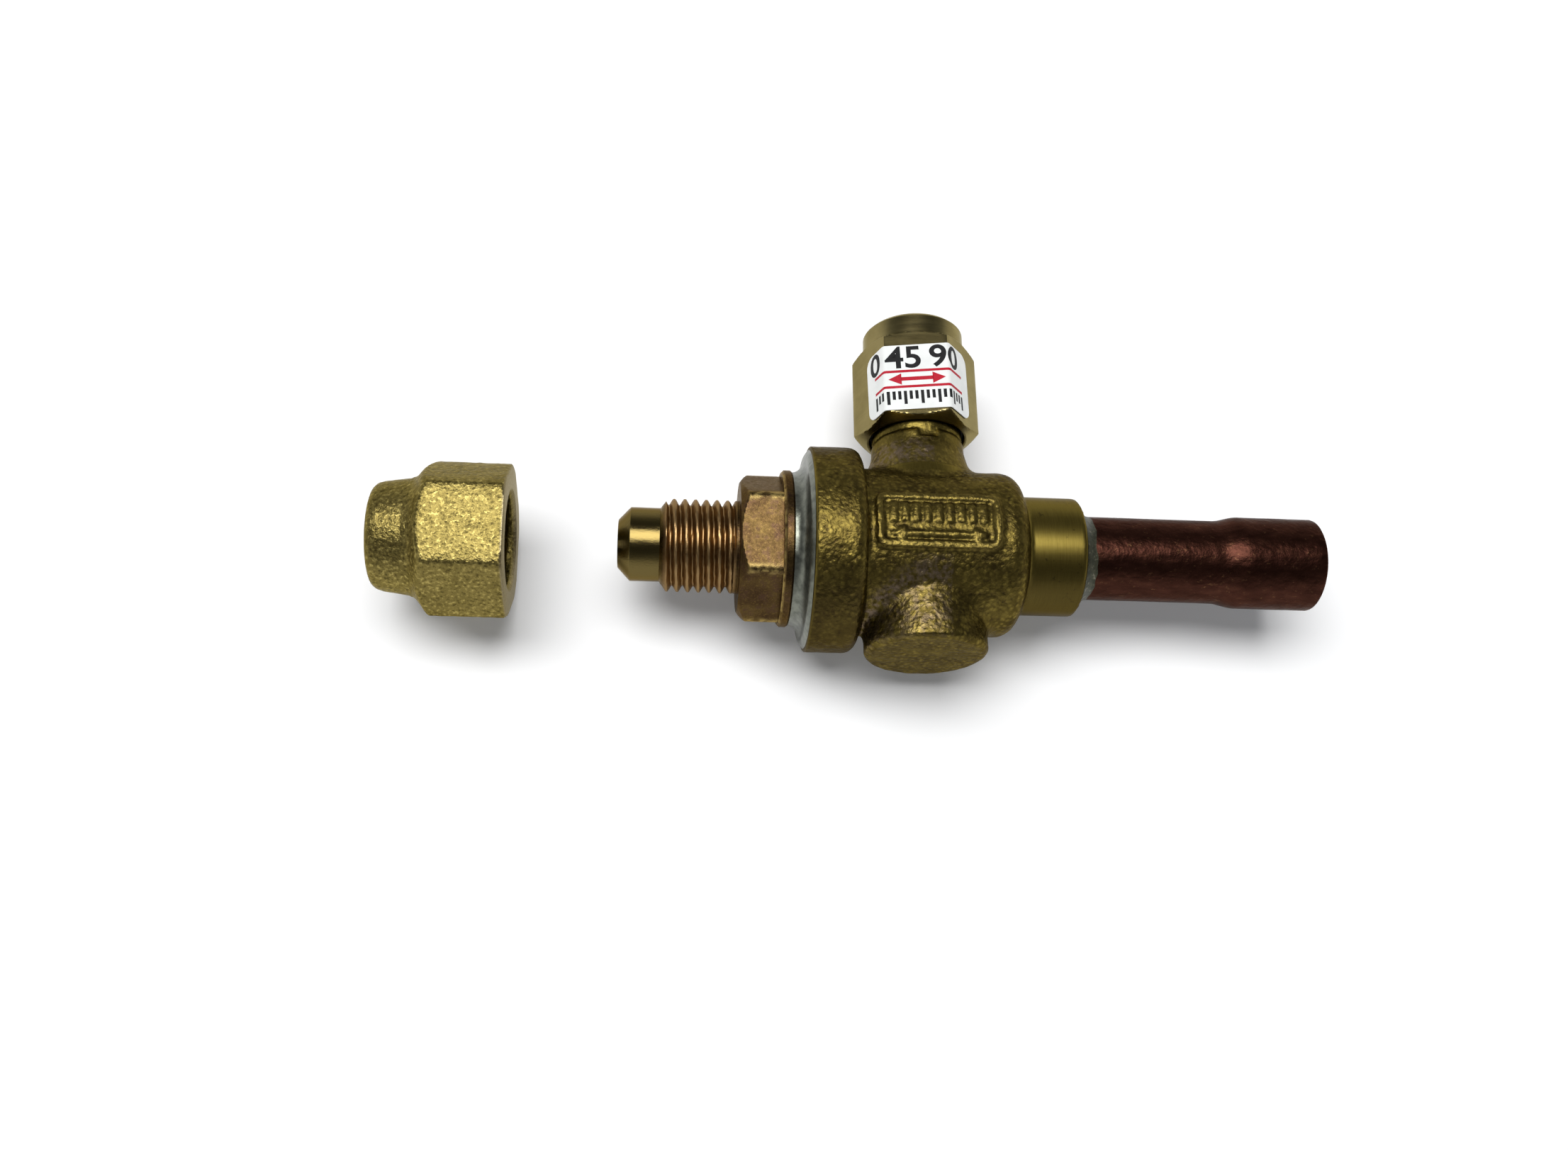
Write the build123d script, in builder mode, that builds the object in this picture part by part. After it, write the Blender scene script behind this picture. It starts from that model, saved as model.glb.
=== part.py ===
from build123d import *
import os
from math import radians, sqrt, tan

# Quarter-turn ball valve for a refrigerant line, with its loose flare nut.
# Millimetres. +X runs along the flow axis to the copper stub, whose mouth is X = 0.
# +Y runs along the stem to the cap, and +Z points up, out of the cast plate.

# ---- Clearances -------------------------------------------------------------
fit = 0.05            # turned or moulded fit, on the radius
thread_fit = 0.08     # between a male thread's crests and its plain female bore
ball_fit = 0.08       # between the ball and its seats
face_gap = 0.05       # between the flat faces of pieces that turn on each other
cut_past = 1.0        # how far a cutting shape runs past the face that it opens

# ---- Copper stub ------------------------------------------------------------
tube_wall = 0.85
socket_bore = 9.6     # takes a 3/8 inch tube for brazing
socket_len = 10.0
swage_len = 1.8
stub_bore = 8.5
stub_free = 29.9      # from the spigot's end to the mouth
stub_seat = 6.5       # inside the spigot
stub_edge = 0.25
braze_rise = 1.3
braze_len = 2.0
braze_hollow = 3.0    # radius of its hollow slope

# ---- Body casting -----------------------------------------------------------
spigot_d = 14.4
spigot_len = 7.15
spigot_edge = 0.3
barrel_d = 20.0
barrel_end = 11.4     # from the ball's centre to the barrel's right end
barrel_step = 0.3     # flat left between the barrel's round end and the spigot
ring_d = 24.8
ring_len = 6.15
ring_start = 8.0      # from the ball's centre to the ring's right side
ring_round = 1.5
rim_edge = 0.25
boss_d = 14.7
boss_reach = 13.2     # from the flow axis to the boss's end face
boss_edge = 0.5
neck_root = 6.0       # height at which the neck's cone starts, inside the barrel
neck_root_d = 14.8
neck_cone_end = 12.8
neck_fillet = 2.0
boss_fillet = 1.4

# ---- Cast plate on the barrel -----------------------------------------------
plate_len = 14.4
plate_width = 6.8
plate_shift = 0.25    # from the ball's centre towards the stub
plate_rise = 0.45
plate_rim = 0.7
plate_corner = 1.0
mark_rise = 0.3
mark_count = 9
mark_width = 0.65
mark_len = 2.4
mark_offset = 0.9     # from the plate's middle line to the marks' middle
arrow_len = 11.0
arrow_shaft = 0.5
arrow_head = 1.5
arrow_offset = -1.8

# ---- Stem passage in the neck -----------------------------------------------
land_d = 11.5         # turned band at the top of the casting, with a notch in it
land_end = 13.95
land_notch = 0.35     # depth of the notch
land_notch_len = 2.6
land_notch_h = 0.95
land_notch_turn = 86.0  # degrees from +X about the stem, from the stub towards the plate
groove_end = 14.5     # a shallow groove above the band
groove_d = 10.9
land_top = 15.6       # plain land inside the cap's mouth
land_top_d = 11.2
neck_thread_d = 10.4
neck_top = 20.2
shank_d = 5.0
stem_flange_d = 7.2
stem_flange_len = 1.25
stem_flange_rise = 0.2  # from the ball chamber's wall up to the flange
washer_len = 0.7
stop_lug_h = 0.9
stop_lug_inner = 7.4
stop_travel = 90.0
stop_tab = 60.0
stop_margin = 1.0     # degrees left at each end of the travel

# ---- Ball, seats and their rings --------------------------------------------
ball_d = 12.0
port_d = 6.4
seat_d = 13.2
seat_bore = 7.0
seat_near = 3.4       # from the ball's centre to the seat's inner face
seat_len = 3.0
seat_ring_r = 5.2     # middle of the ring's cord
seat_ring_cord = 0.9
groove_play = 0.1     # left round a ring's cord in its groove
slot_width = 2.6
slot_floor = 4.3
tang_len = 5.2

# ---- Stem -------------------------------------------------------------------
square = 3.6
stem_top = 24.8
stem_ring_cord = 0.76
stem_ring_levels = (11.6, 14.4)
stop_plate_len = 0.8
circlip_len = 0.5
circlip_d = 6.0
circlip_groove_d = 3.2
circlip_opening = 1.4
stem_mark = 0.5

# ---- Cap --------------------------------------------------------------------
cap_flats = 13.6
cap_low = 16.0        # lower end of the hexagon's corners
cap_high = 26.3       # their upper end
cap_chamfer = 30.0    # degrees, at both ends of the corners
cap_bottom_d = 12.4
cap_head_d = 12.7
cap_top = 30.1
cap_top_edge = 0.5
cap_recess_d = 11.8
cap_recess_len = 1.75
cap_thread_end = 22.0
cap_hollow_d = 8.0
cap_roof = 2.8
cap_turn = -8.0       # degrees about the stem, the front flat towards the flare
gasket_len = 0.9
label_len = 8.9
label_width = 12.15   # as seen square to the front flat, its ends folded over the next two
label_shift = 0.25
label_tilt = 2.0
label_thick = 0.12
label_corner = 1.3
label_middle = 20.5

# ---- Flare adaptor ----------------------------------------------------------
flare_tip_d = 6.0
flare_bore = 4.6
pilot_d = 8.8
pilot_len = 3.5
thread_d = 11.11      # 7/16-20 UNF
thread_pitch = 1.27
thread_turns = 6
thread_depth = 0.78
thread_crest = 0.18
thread_runout = 0.85
shoulder_len = 0.8
hex_flats = 15.9
hex_len = 4.9
hex_edge = 1.4        # how far the turned chamfer comes in from the corners
hex_edge_slope = 0.75
hex_turn = 8.5        # degrees about the flow axis, from the plate towards the boss
collar_drop = 3.0     # from the ring's outside down to the collar's
collar_len = 1.2
collar_edge = 0.3
plug_drop = 0.9       # from the collar's outside down to the plug's
plug_len = 4.4        # from the body's rim to the plug's step
bead_len = 2.0
bead_foot = 0.2       # how far the bead stays inside the collar's and the rim's edges
bead_lip = 0.5
bead_lip_drop = 0.9
bead_lip_round = 0.8
o_ring_cord = 1.0
o_ring_back = 0.25

# ---- Flare nut --------------------------------------------------------------
nut_flats = 16.8
nut_len = 15.8
nut_hex_len = 10.6
nut_nose_d = 14.1
nut_nose_end_d = 12.6
nut_nose_round = 1.2
nut_neck_len = 2.2
nut_tube_hole = 6.5
nut_thread_len = 9.5
nut_mouth_edge = 0.5
nut_mouth_slope = 30.0  # degrees
nut_gap = 12.6        # from the flare's tip to the nut's mouth
nut_turn = 10.0

# ---- Places worked out from the sizes above ---------------------------------
ball_x = -(stub_free + spigot_len + barrel_end)
barrel_round = (barrel_d - spigot_d) / 2 - barrel_step
collar_d = ring_d - 2 * collar_drop
plug_d = collar_d - 2 * plug_drop
spigot_end = ball_x + barrel_end + spigot_len
ring_right = ball_x - ring_start
rim_x = ring_right - ring_len
collar_right = rim_x - bead_len
hex_right = collar_right - collar_len
hex_left = hex_right - hex_len
thread_right = hex_left - shoulder_len
thread_left = thread_right - thread_turns * thread_pitch
pilot_left = thread_left - thread_runout - pilot_len
flare_tip = pilot_left - (pilot_d - flare_tip_d) / 2
seat_far = seat_near + seat_len
plug_end = rim_x + plug_len
stem_axis = Axis((ball_x, 0, 0), (0, 1, 0))
nut_mouth = flare_tip - nut_gap
ball_r = ball_d / 2
cap_corner_r = cap_flats / sqrt(3)
cap_slope = tan(radians(cap_chamfer))
cap_bottom = cap_low - (cap_corner_r - cap_bottom_d / 2) * cap_slope
cap_shoulder = cap_high + (cap_corner_r - cap_head_d / 2) * cap_slope

os.makedirs("parts", exist_ok=True)


def level(height):
    """A plane square to the stem at this height, seen from the cap and centred on the stem."""
    return Plane(origin=(ball_x, height, 0), x_dir=(1, 0, 0), z_dir=(0, 1, 0))


def across(x):
    """A plane square to the flow axis at this station."""
    return Plane.YZ.offset(x)


# ---- Radii and heights shared by several pieces -----------------------------
stub_r = stub_bore / 2 + tube_wall
socket_r = socket_bore / 2
cavity_r = seat_d / 2 + fit
plug_bore_r = plug_d / 2 + thread_fit
bore_r = shank_d / 2 + fit
flange_low = cavity_r + stem_flange_rise
flange_high = flange_low + stem_flange_len
washer_low = flange_high + face_gap
passage_roof = washer_low + washer_len + face_gap
ring_groove_depth = seat_ring_cord + groove_play
ring_groove_half = seat_ring_cord / 2 + groove_play
stop_opening = stop_travel + stop_tab + 2 * stop_margin
stop_plate_low = neck_top + face_gap
circlip_low = stop_plate_low + stop_plate_len + face_gap
stub_inner = spigot_end - stub_seat
plate_x = ball_x + plate_shift

# ---- Relief of the cast plate: a raised rim, plain upright marks and a two-way arrow ----
with BuildPart() as plate_rim_relief:
    with BuildSketch(Plane.XY):
        with Locations((plate_x, 0)):
            RectangleRounded(plate_len, plate_width, plate_corner)
            RectangleRounded(
                plate_len - 2 * plate_rim,
                plate_width - 2 * plate_rim,
                plate_corner / 2,
                mode=Mode.SUBTRACT,
            )
    extrude(amount=barrel_d)
    with BuildSketch(across(plate_x - plate_len)):
        Circle(barrel_d / 2 + plate_rise)
    extrude(amount=2 * plate_len, mode=Mode.INTERSECT)

with BuildPart() as plate_marks_relief:
    mark_pitch = (plate_len - 2 * plate_rim) / (mark_count + 1)
    with BuildSketch(Plane.XY):
        with Locations((plate_x, mark_offset)):
            with GridLocations(mark_pitch, mark_len, mark_count, 1):
                Rectangle(mark_width, mark_len)
        with Locations((plate_x, arrow_offset)):
            Rectangle(arrow_len - arrow_head, arrow_shaft)
        for way in (-1, 1):
            tip_x = plate_x + way * arrow_len / 2
            with BuildLine():
                Polyline(
                    (tip_x, arrow_offset),
                    (tip_x - way * arrow_head, arrow_offset + arrow_head / 2),
                    (tip_x - way * arrow_head, arrow_offset - arrow_head / 2),
                    close=True,
                )
            make_face()
    extrude(amount=barrel_d)
    with BuildSketch(across(plate_x - plate_len)):
        Circle(barrel_d / 2 + mark_rise)
    extrude(amount=2 * plate_len, mode=Mode.INTERSECT)

# ---- Body: one brass forging with a ring, a barrel, a neck, a blank boss and a turned spigot ----
with BuildPart() as body:
    with BuildSketch(Plane.XY) as barrel_section:
        with BuildLine():
            Polyline(
                (rim_x + rim_edge, 0),
                (rim_x + rim_edge, barrel_d / 2),
                (ball_x + barrel_end, barrel_d / 2),
                (ball_x + barrel_end, spigot_d / 2),
                (spigot_end - spigot_edge, spigot_d / 2),
                (spigot_end, spigot_d / 2 - spigot_edge),
                (spigot_end, 0),
                close=True,
            )
        make_face()
        barrel_corner = (ball_x + barrel_end, barrel_d / 2)
        fillet(barrel_section.vertices().sort_by_distance(barrel_corner)[0], barrel_round)
    revolve(axis=Axis.X)
    with BuildSketch(Plane.XY):
        with BuildLine():
            Polyline(
                (ball_x, neck_root),
                (ball_x + neck_root_d / 2, neck_root),
                (ball_x + land_d / 2, neck_cone_end),
                (ball_x, neck_cone_end),
                close=True,
            )
        make_face()
    revolve(axis=stem_axis)
    neck_seams = body.edges().filter_by(GeomType.BSPLINE)
    fillet(neck_seams, neck_fillet)
    with BuildSketch(level(0)):
        Circle(boss_d / 2)
    extrude(amount=-boss_reach)
    boss_seams = body.edges().filter_by(GeomType.BSPLINE).filter_by_position(Axis.Y, -boss_reach, 0)
    fillet(boss_seams, boss_fillet)
    chamfer(body.faces().sort_by(Axis.Y)[0].edges(), boss_edge)

    # The ring, with a sharp turned rim towards the adaptor and a cast round towards the barrel.
    with BuildSketch(Plane.XY) as ring_section:
        with BuildLine():
            Polyline(
                (rim_x, 0),
                (rim_x, ring_d / 2 - rim_edge),
                (rim_x + rim_edge, ring_d / 2),
                (ring_right, ring_d / 2),
                (ring_right, 0),
                close=True,
            )
        make_face()
        ring_corner = (ring_right, ring_d / 2)
        fillet(ring_section.vertices().sort_by_distance(ring_corner)[0], ring_round)
    revolve(axis=Axis.X)
    add(plate_rim_relief.part)
    add(plate_marks_relief.part)

    # Turned band, groove, plain land and cap thread, and the notch in the band.
    with BuildSketch(Plane.XY):
        with BuildLine():
            Polyline(
                (ball_x, neck_cone_end),
                (ball_x + land_d / 2, neck_cone_end),
                (ball_x + land_d / 2, land_end),
                (ball_x + groove_d / 2, land_end),
                (ball_x + groove_d / 2, groove_end),
                (ball_x + land_top_d / 2, groove_end),
                (ball_x + land_top_d / 2, land_top),
                (ball_x + neck_thread_d / 2, land_top),
                (ball_x + neck_thread_d / 2, neck_top),
                (ball_x, neck_top),
                close=True,
            )
        make_face()
    revolve(axis=stem_axis)
    with BuildSketch(level(land_end - land_notch_h)):
        with PolarLocations(land_d / 2, 1, start_angle=-land_notch_turn):
            Rectangle(2 * land_notch, land_notch_len)
    extrude(amount=land_notch_h, mode=Mode.SUBTRACT)

    # Lug that stops the stem after a quarter turn.
    with BuildSketch(level(neck_top)):
        Circle(neck_thread_d / 2)
        Circle(stop_lug_inner / 2, mode=Mode.SUBTRACT)
        with BuildLine():
            opening = CenterArc((0, 0), neck_thread_d, -stop_opening / 2, stop_opening)
            Line((0, 0), opening @ 0)
            Line(opening @ 1, (0, 0))
        make_face(mode=Mode.SUBTRACT)
    extrude(amount=stop_lug_h)

    # Waterway: threaded seat for the adaptor, ball chamber, seat ring groove, port and stub socket.
    with BuildSketch(Plane.XY):
        with BuildLine():
            Polyline(
                (rim_x - cut_past, 0),
                (rim_x - cut_past, plug_bore_r),
                (plug_end, plug_bore_r),
                (plug_end, cavity_r),
                (ball_x + seat_far, cavity_r),
                (ball_x + seat_far, seat_ring_r + ring_groove_half),
                (ball_x + seat_far + ring_groove_depth, seat_ring_r + ring_groove_half),
                (ball_x + seat_far + ring_groove_depth, seat_ring_r - ring_groove_half),
                (ball_x + seat_far, seat_ring_r - ring_groove_half),
                (ball_x + seat_far, port_d / 2),
                (stub_inner, port_d / 2),
                (stub_inner, stub_r + fit),
                (spigot_end + cut_past, stub_r + fit),
                (spigot_end + cut_past, 0),
                close=True,
            )
        make_face()
    revolve(axis=Axis.X, mode=Mode.SUBTRACT)

    # Stem passage: a wide foot for the stem's flange and washer, then a plain bore up the neck.
    with BuildSketch(level(0)):
        Circle(stem_flange_d / 2 + fit)
    extrude(amount=passage_roof, mode=Mode.SUBTRACT)
    with BuildSketch(level(0)):
        Circle(bore_r)
    extrude(amount=neck_top + cut_past, mode=Mode.SUBTRACT)
body.part.label = "body"
export_step(body.part, "parts/body.step")

# ---- Ball, with its port open along the flow and a slot across it for the stem's tang ----
with BuildPart() as ball:
    with Locations((ball_x, 0, 0)):
        Sphere(ball_r)
    with BuildSketch(across(ball_x - ball_r)):
        Circle(port_d / 2)
    extrude(amount=ball_d, mode=Mode.SUBTRACT)
    with BuildSketch(level(slot_floor)):
        Rectangle(slot_width, ball_d)
    extrude(amount=ball_r, mode=Mode.SUBTRACT)
ball.part.label = "ball"
export_step(ball.part, "parts/ball.step")

# ---- Seats and the rings that press them on the ball, one of each per side ----
pocket_r = ball_r + ball_fit
pocket_depth = sqrt(pocket_r**2 - (seat_bore / 2) ** 2)
pocket_mouth_r = sqrt(pocket_r**2 - seat_near**2)
for way, side in ((-1, "flare_side"), (1, "tube_side")):
    seat_face = ball_x + way * seat_near
    seat_back = ball_x + way * seat_far
    with BuildPart() as seat:
        with BuildSketch(Plane.XY):
            with BuildLine():
                bore_start = (ball_x + way * pocket_depth, seat_bore / 2)
                pocket_end = (seat_face, pocket_mouth_r)
                RadiusArc(bore_start, pocket_end, -way * pocket_r)
                Polyline(
                    pocket_end,
                    (seat_face, seat_d / 2),
                    (seat_back, seat_d / 2),
                    (seat_back, seat_bore / 2),
                    bore_start,
                )
            make_face()
        revolve(axis=Axis.X)
    seat.part.label = "seat_" + side
    export_step(seat.part, "parts/seat_" + side + ".step")

    with BuildPart() as seat_ring:
        with BuildSketch(Plane.XY):
            with Locations((seat_back + way * ring_groove_depth / 2, seat_ring_r)):
                Circle(seat_ring_cord / 2)
        revolve(axis=Axis.X)
    seat_ring.part.label = "seat_ring_" + side
    export_step(seat_ring.part, "parts/seat_ring_" + side + ".step")

# ---- Stem: tang, retaining flange, sealed shank and a square under the cap ----
groove_floor_r = bore_r - stem_ring_cord - fit
groove_half = stem_ring_cord / 2 + groove_play
with BuildPart() as stem:
    with BuildSketch(level(slot_floor + face_gap)):
        Rectangle(slot_width - 2 * fit, tang_len)
    extrude(amount=flange_low - slot_floor - face_gap)
    with BuildSketch(level(flange_low)):
        Circle(stem_flange_d / 2)
    extrude(amount=stem_flange_len)
    with BuildSketch(level(flange_high)):
        Circle(shank_d / 2)
    extrude(amount=neck_top - flange_high)
    for ring_level in stem_ring_levels:
        with BuildSketch(level(ring_level - groove_half)):
            Circle(shank_d / 2)
            Circle(groove_floor_r, mode=Mode.SUBTRACT)
        extrude(amount=2 * groove_half, mode=Mode.SUBTRACT)
    with BuildSketch(level(neck_top)):
        Circle(shank_d / 2)
        Rectangle(square, square, mode=Mode.INTERSECT)
    extrude(amount=stem_top - neck_top)
    with BuildSketch(level(circlip_low - face_gap)):
        Circle(shank_d)
        Circle(circlip_groove_d / 2, mode=Mode.SUBTRACT)
    extrude(amount=circlip_len + 2 * face_gap, mode=Mode.SUBTRACT)
    with BuildSketch(level(stem_top - stem_mark)):
        Rectangle(shank_d, stem_mark)
    extrude(amount=stem_mark, mode=Mode.SUBTRACT)
stem.part.label = "stem"
export_step(stem.part, "parts/stem.step")

with BuildPart() as thrust_washer:
    with BuildSketch(level(washer_low)):
        Circle(stem_flange_d / 2)
        Circle(bore_r, mode=Mode.SUBTRACT)
    extrude(amount=washer_len)
thrust_washer.part.label = "thrust_washer"
export_step(thrust_washer.part, "parts/thrust_washer.step")

for ring_level, place in zip(stem_ring_levels, ("lower", "upper")):
    with BuildPart() as stem_ring:
        with BuildSketch(Plane.XY):
            with Locations((ball_x + bore_r - (stem_ring_cord + fit) / 2, ring_level)):
                Circle(stem_ring_cord / 2)
        revolve(axis=stem_axis)
    stem_ring.part.label = "stem_ring_" + place
    export_step(stem_ring.part, "parts/stem_ring_" + place + ".step")

# ---- Stop plate, whose tab swings between the ends of the neck's lug, and its circlip ----
with BuildPart() as stop_plate:
    with BuildSketch(level(stop_plate_low)):
        Circle(stop_lug_inner / 2 - thread_fit)
        with BuildLine():
            tab_r = neck_thread_d / 2 - thread_fit
            tab = CenterArc((0, 0), tab_r, -(stop_travel + stop_tab) / 2, stop_tab)
            Line((0, 0), tab @ 0)
            Line(tab @ 1, (0, 0))
        make_face()
        Rectangle(square + 2 * fit, square + 2 * fit, mode=Mode.SUBTRACT)
    extrude(amount=stop_plate_len)
stop_plate.part.label = "stop_plate"
export_step(stop_plate.part, "parts/stop_plate.step")

with BuildPart() as circlip:
    with BuildSketch(level(circlip_low)):
        Circle(circlip_d / 2)
        Circle(circlip_groove_d / 2 + fit, mode=Mode.SUBTRACT)
        with Locations((circlip_d / 2, 0)):
            Rectangle(circlip_d, circlip_opening, mode=Mode.SUBTRACT)
    extrude(amount=circlip_len)
circlip.part.label = "circlip"
export_step(circlip.part, "parts/circlip.step")

# ---- Cap: a hexagon with a round head, chamfered at both ends and hollow for the neck and stem ----
with BuildPart() as cap:
    with BuildSketch(level(cap_bottom)):
        RegularPolygon(cap_flats / 2, 6, major_radius=False, rotation=cap_turn)
    extrude(amount=cap_top - cap_bottom)
    with BuildSketch(Plane.XY):
        with BuildLine():
            Polyline(
                (ball_x, cap_bottom),
                (ball_x + cap_bottom_d / 2, cap_bottom),
                (ball_x + cap_corner_r, cap_low),
                (ball_x + cap_corner_r, cap_high),
                (ball_x + cap_head_d / 2, cap_shoulder),
                (ball_x + cap_head_d / 2, cap_top - cap_top_edge),
                (ball_x + cap_head_d / 2 - cap_top_edge, cap_top),
                (ball_x, cap_top),
                close=True,
            )
        make_face()
    revolve(axis=stem_axis, mode=Mode.INTERSECT)
    with BuildSketch(level(cap_bottom - cut_past)):
        Circle(cap_recess_d / 2)
    extrude(amount=cap_recess_len + cut_past, mode=Mode.SUBTRACT)
    with BuildSketch(level(cap_bottom)):
        Circle(neck_thread_d / 2 + thread_fit)
    extrude(amount=cap_thread_end - cap_bottom, mode=Mode.SUBTRACT)
    with BuildSketch(level(cap_bottom)):
        Circle(cap_hollow_d / 2)
    extrude(amount=cap_top - cap_roof - cap_bottom, mode=Mode.SUBTRACT)
cap.part.label = "cap"
export_step(cap.part, "parts/cap.step")

with BuildPart() as cap_gasket:
    with BuildSketch(level(cap_bottom + cap_recess_len - gasket_len - face_gap)):
        Circle(cap_recess_d / 2 - fit)
        Circle(neck_thread_d / 2 + fit, mode=Mode.SUBTRACT)
    extrude(amount=gasket_len)
cap_gasket.part.label = "cap_gasket"
export_step(cap_gasket.part, "parts/cap_gasket.step")

# ---- Label folded over the cap's upper flat and its two neighbours, a little askew ----
cap_face = Plane((ball_x, 0, 0)).rotated((0, cap_turn, 0))
with BuildPart() as cap_label:
    with BuildSketch(level(label_middle - label_len)):
        RegularPolygon(cap_flats / 2 + label_thick, 6, major_radius=False, rotation=cap_turn)
        RegularPolygon(cap_flats / 2, 6, major_radius=False, rotation=cap_turn, mode=Mode.SUBTRACT)
    extrude(amount=2 * label_len)
    with BuildSketch(cap_face):
        with Locations(Location((label_shift, label_middle, 0), (0, 0, label_tilt))):
            RectangleRounded(label_width, label_len, label_corner)
    extrude(amount=cap_flats, mode=Mode.INTERSECT)
cap_label.part.label = "cap_label"
export_step(cap_label.part, "parts/cap_label.step")

# ---- Flare adaptor, turned from hexagon bar: flare nose, thread, hexagon, collar and plug ----
hex_corner_r = hex_flats / sqrt(3)
adaptor_face = ball_x - seat_far
o_ring_groove_low = plug_end + o_ring_back
o_ring_groove_high = o_ring_groove_low + o_ring_cord + 2 * groove_play
o_ring_floor_r = cavity_r - o_ring_cord - fit
thread_r = thread_d / 2
with BuildPart() as flare_adaptor:
    # The hexagon, whose corners are turned off on the thread's side.
    with BuildSketch(across(hex_left)):
        RegularPolygon(hex_flats / 2, 6, major_radius=False, rotation=hex_turn)
    extrude(amount=hex_len)
    with BuildSketch(Plane.XY):
        with BuildLine():
            Polyline(
                (hex_left, 0),
                (hex_left, hex_corner_r - hex_edge),
                (hex_left + hex_edge * hex_edge_slope, hex_corner_r),
                (hex_right, hex_corner_r),
                (hex_right, 0),
                close=True,
            )
        make_face()
    revolve(axis=Axis.X, mode=Mode.INTERSECT)

    # Flare nose, pilot, thread and shoulder. The thread is a row of plain ring grooves.
    with BuildSketch(Plane.XY):
        with BuildLine():
            groove_points = []
            for turn in range(thread_turns):
                root_x = thread_left + (turn + 0.5) * thread_pitch
                half_open = (thread_pitch - thread_crest) / 2
                groove_points.append((root_x - half_open, thread_r))
                groove_points.append((root_x, thread_r - thread_depth))
                groove_points.append((root_x + half_open, thread_r))
            Polyline(
                (flare_tip, 0),
                (flare_tip, flare_tip_d / 2),
                (pilot_left, pilot_d / 2),
                (thread_left - thread_runout, pilot_d / 2),
                (thread_left, thread_r),
                *groove_points,
                (hex_left, thread_r),
                (hex_left, 0),
                close=True,
            )
        make_face()
    revolve(axis=Axis.X)

    # Collar, the plug that screws into the body, and the pilot that holds the seat.
    with BuildSketch(Plane.XY):
        with BuildLine():
            Polyline(
                (hex_right, 0),
                (hex_right, collar_d / 2 - collar_edge),
                (hex_right + collar_edge, collar_d / 2),
                (collar_right, collar_d / 2),
                (collar_right, plug_d / 2),
                (plug_end - fit, plug_d / 2),
                (plug_end - fit, seat_d / 2),
                (o_ring_groove_low, seat_d / 2),
                (o_ring_groove_low, o_ring_floor_r),
                (o_ring_groove_high, o_ring_floor_r),
                (o_ring_groove_high, seat_d / 2),
                (adaptor_face, seat_d / 2),
                (adaptor_face, seat_ring_r + ring_groove_half),
                (adaptor_face - ring_groove_depth, seat_ring_r + ring_groove_half),
                (adaptor_face - ring_groove_depth, seat_ring_r - ring_groove_half),
                (adaptor_face, seat_ring_r - ring_groove_half),
                (adaptor_face, 0),
                close=True,
            )
        make_face()
    revolve(axis=Axis.X)

    # Bore, narrow through the flare and as wide as the ball's port behind it.
    with BuildSketch(Plane.XY):
        with BuildLine():
            bore_step = (port_d - flare_bore) / 2
            Polyline(
                (flare_tip - cut_past, 0),
                (flare_tip - cut_past, flare_bore / 2),
                (hex_right - bore_step, flare_bore / 2),
                (hex_right, port_d / 2),
                (adaptor_face + cut_past, port_d / 2),
                (adaptor_face + cut_past, 0),
                close=True,
            )
        make_face()
    revolve(axis=Axis.X, mode=Mode.SUBTRACT)
flare_adaptor.part.label = "flare_adaptor"
export_step(flare_adaptor.part, "parts/flare_adaptor.step")

with BuildPart() as adaptor_ring:
    with BuildSketch(Plane.XY):
        o_ring_x = (o_ring_groove_low + o_ring_groove_high) / 2
        with Locations((o_ring_x, cavity_r - (o_ring_cord + fit) / 2)):
            Circle(o_ring_cord / 2)
    revolve(axis=Axis.X)
adaptor_ring.part.label = "adaptor_ring"
export_step(adaptor_ring.part, "parts/adaptor_ring.step")

# ---- Soft-metal seal run in between the adaptor's collar and the body's rim ----
with BuildPart() as seal_bead:
    with BuildSketch(Plane.XY):
        bead_foot_r = collar_d / 2 - bead_foot
        bead_crown_r = ring_d / 2 - rim_edge - bead_foot
        bead_lip_x = rim_x - bead_lip
        bead_lip_r = bead_crown_r - bead_lip_drop
        with BuildLine():
            foot = Line((collar_right, plug_d / 2 + fit), (collar_right, bead_foot_r))
            hollow = TangentArc(foot @ 1, (bead_lip_x, bead_lip_r), tangent=(1, 0))
            lip = RadiusArc(hollow @ 1, (rim_x, bead_crown_r), bead_lip_round)
            Polyline(lip @ 1, (rim_x, plug_d / 2 + fit), foot @ 0)
        make_face()
    revolve(axis=Axis.X)
seal_bead.part.label = "seal_bead"
export_step(seal_bead.part, "parts/seal_bead.step")

# ---- Copper stub, swaged out at its mouth, and the braze round its foot ----
swage_start = -(socket_len + swage_len)
swage_od_r = socket_r + tube_wall
with BuildPart() as copper_stub:
    with BuildSketch(Plane.XY) as stub_section:
        with BuildLine():
            Polyline(
                (stub_inner + face_gap, stub_bore / 2),
                (stub_inner + face_gap, stub_r),
                (swage_start, stub_r),
                (-socket_len, swage_od_r),
                (-stub_edge, swage_od_r),
                (0, swage_od_r - stub_edge),
                (0, socket_r),
                (-socket_len, socket_r),
                (swage_start, stub_bore / 2),
                close=True,
            )
        make_face()
        for bend in ((swage_start, stub_r), (-socket_len, swage_od_r)):
            fillet(stub_section.vertices().sort_by_distance(bend)[0], swage_len)
    revolve(axis=Axis.X)
copper_stub.part.label = "copper_stub"
export_step(copper_stub.part, "parts/copper_stub.step")

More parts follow.
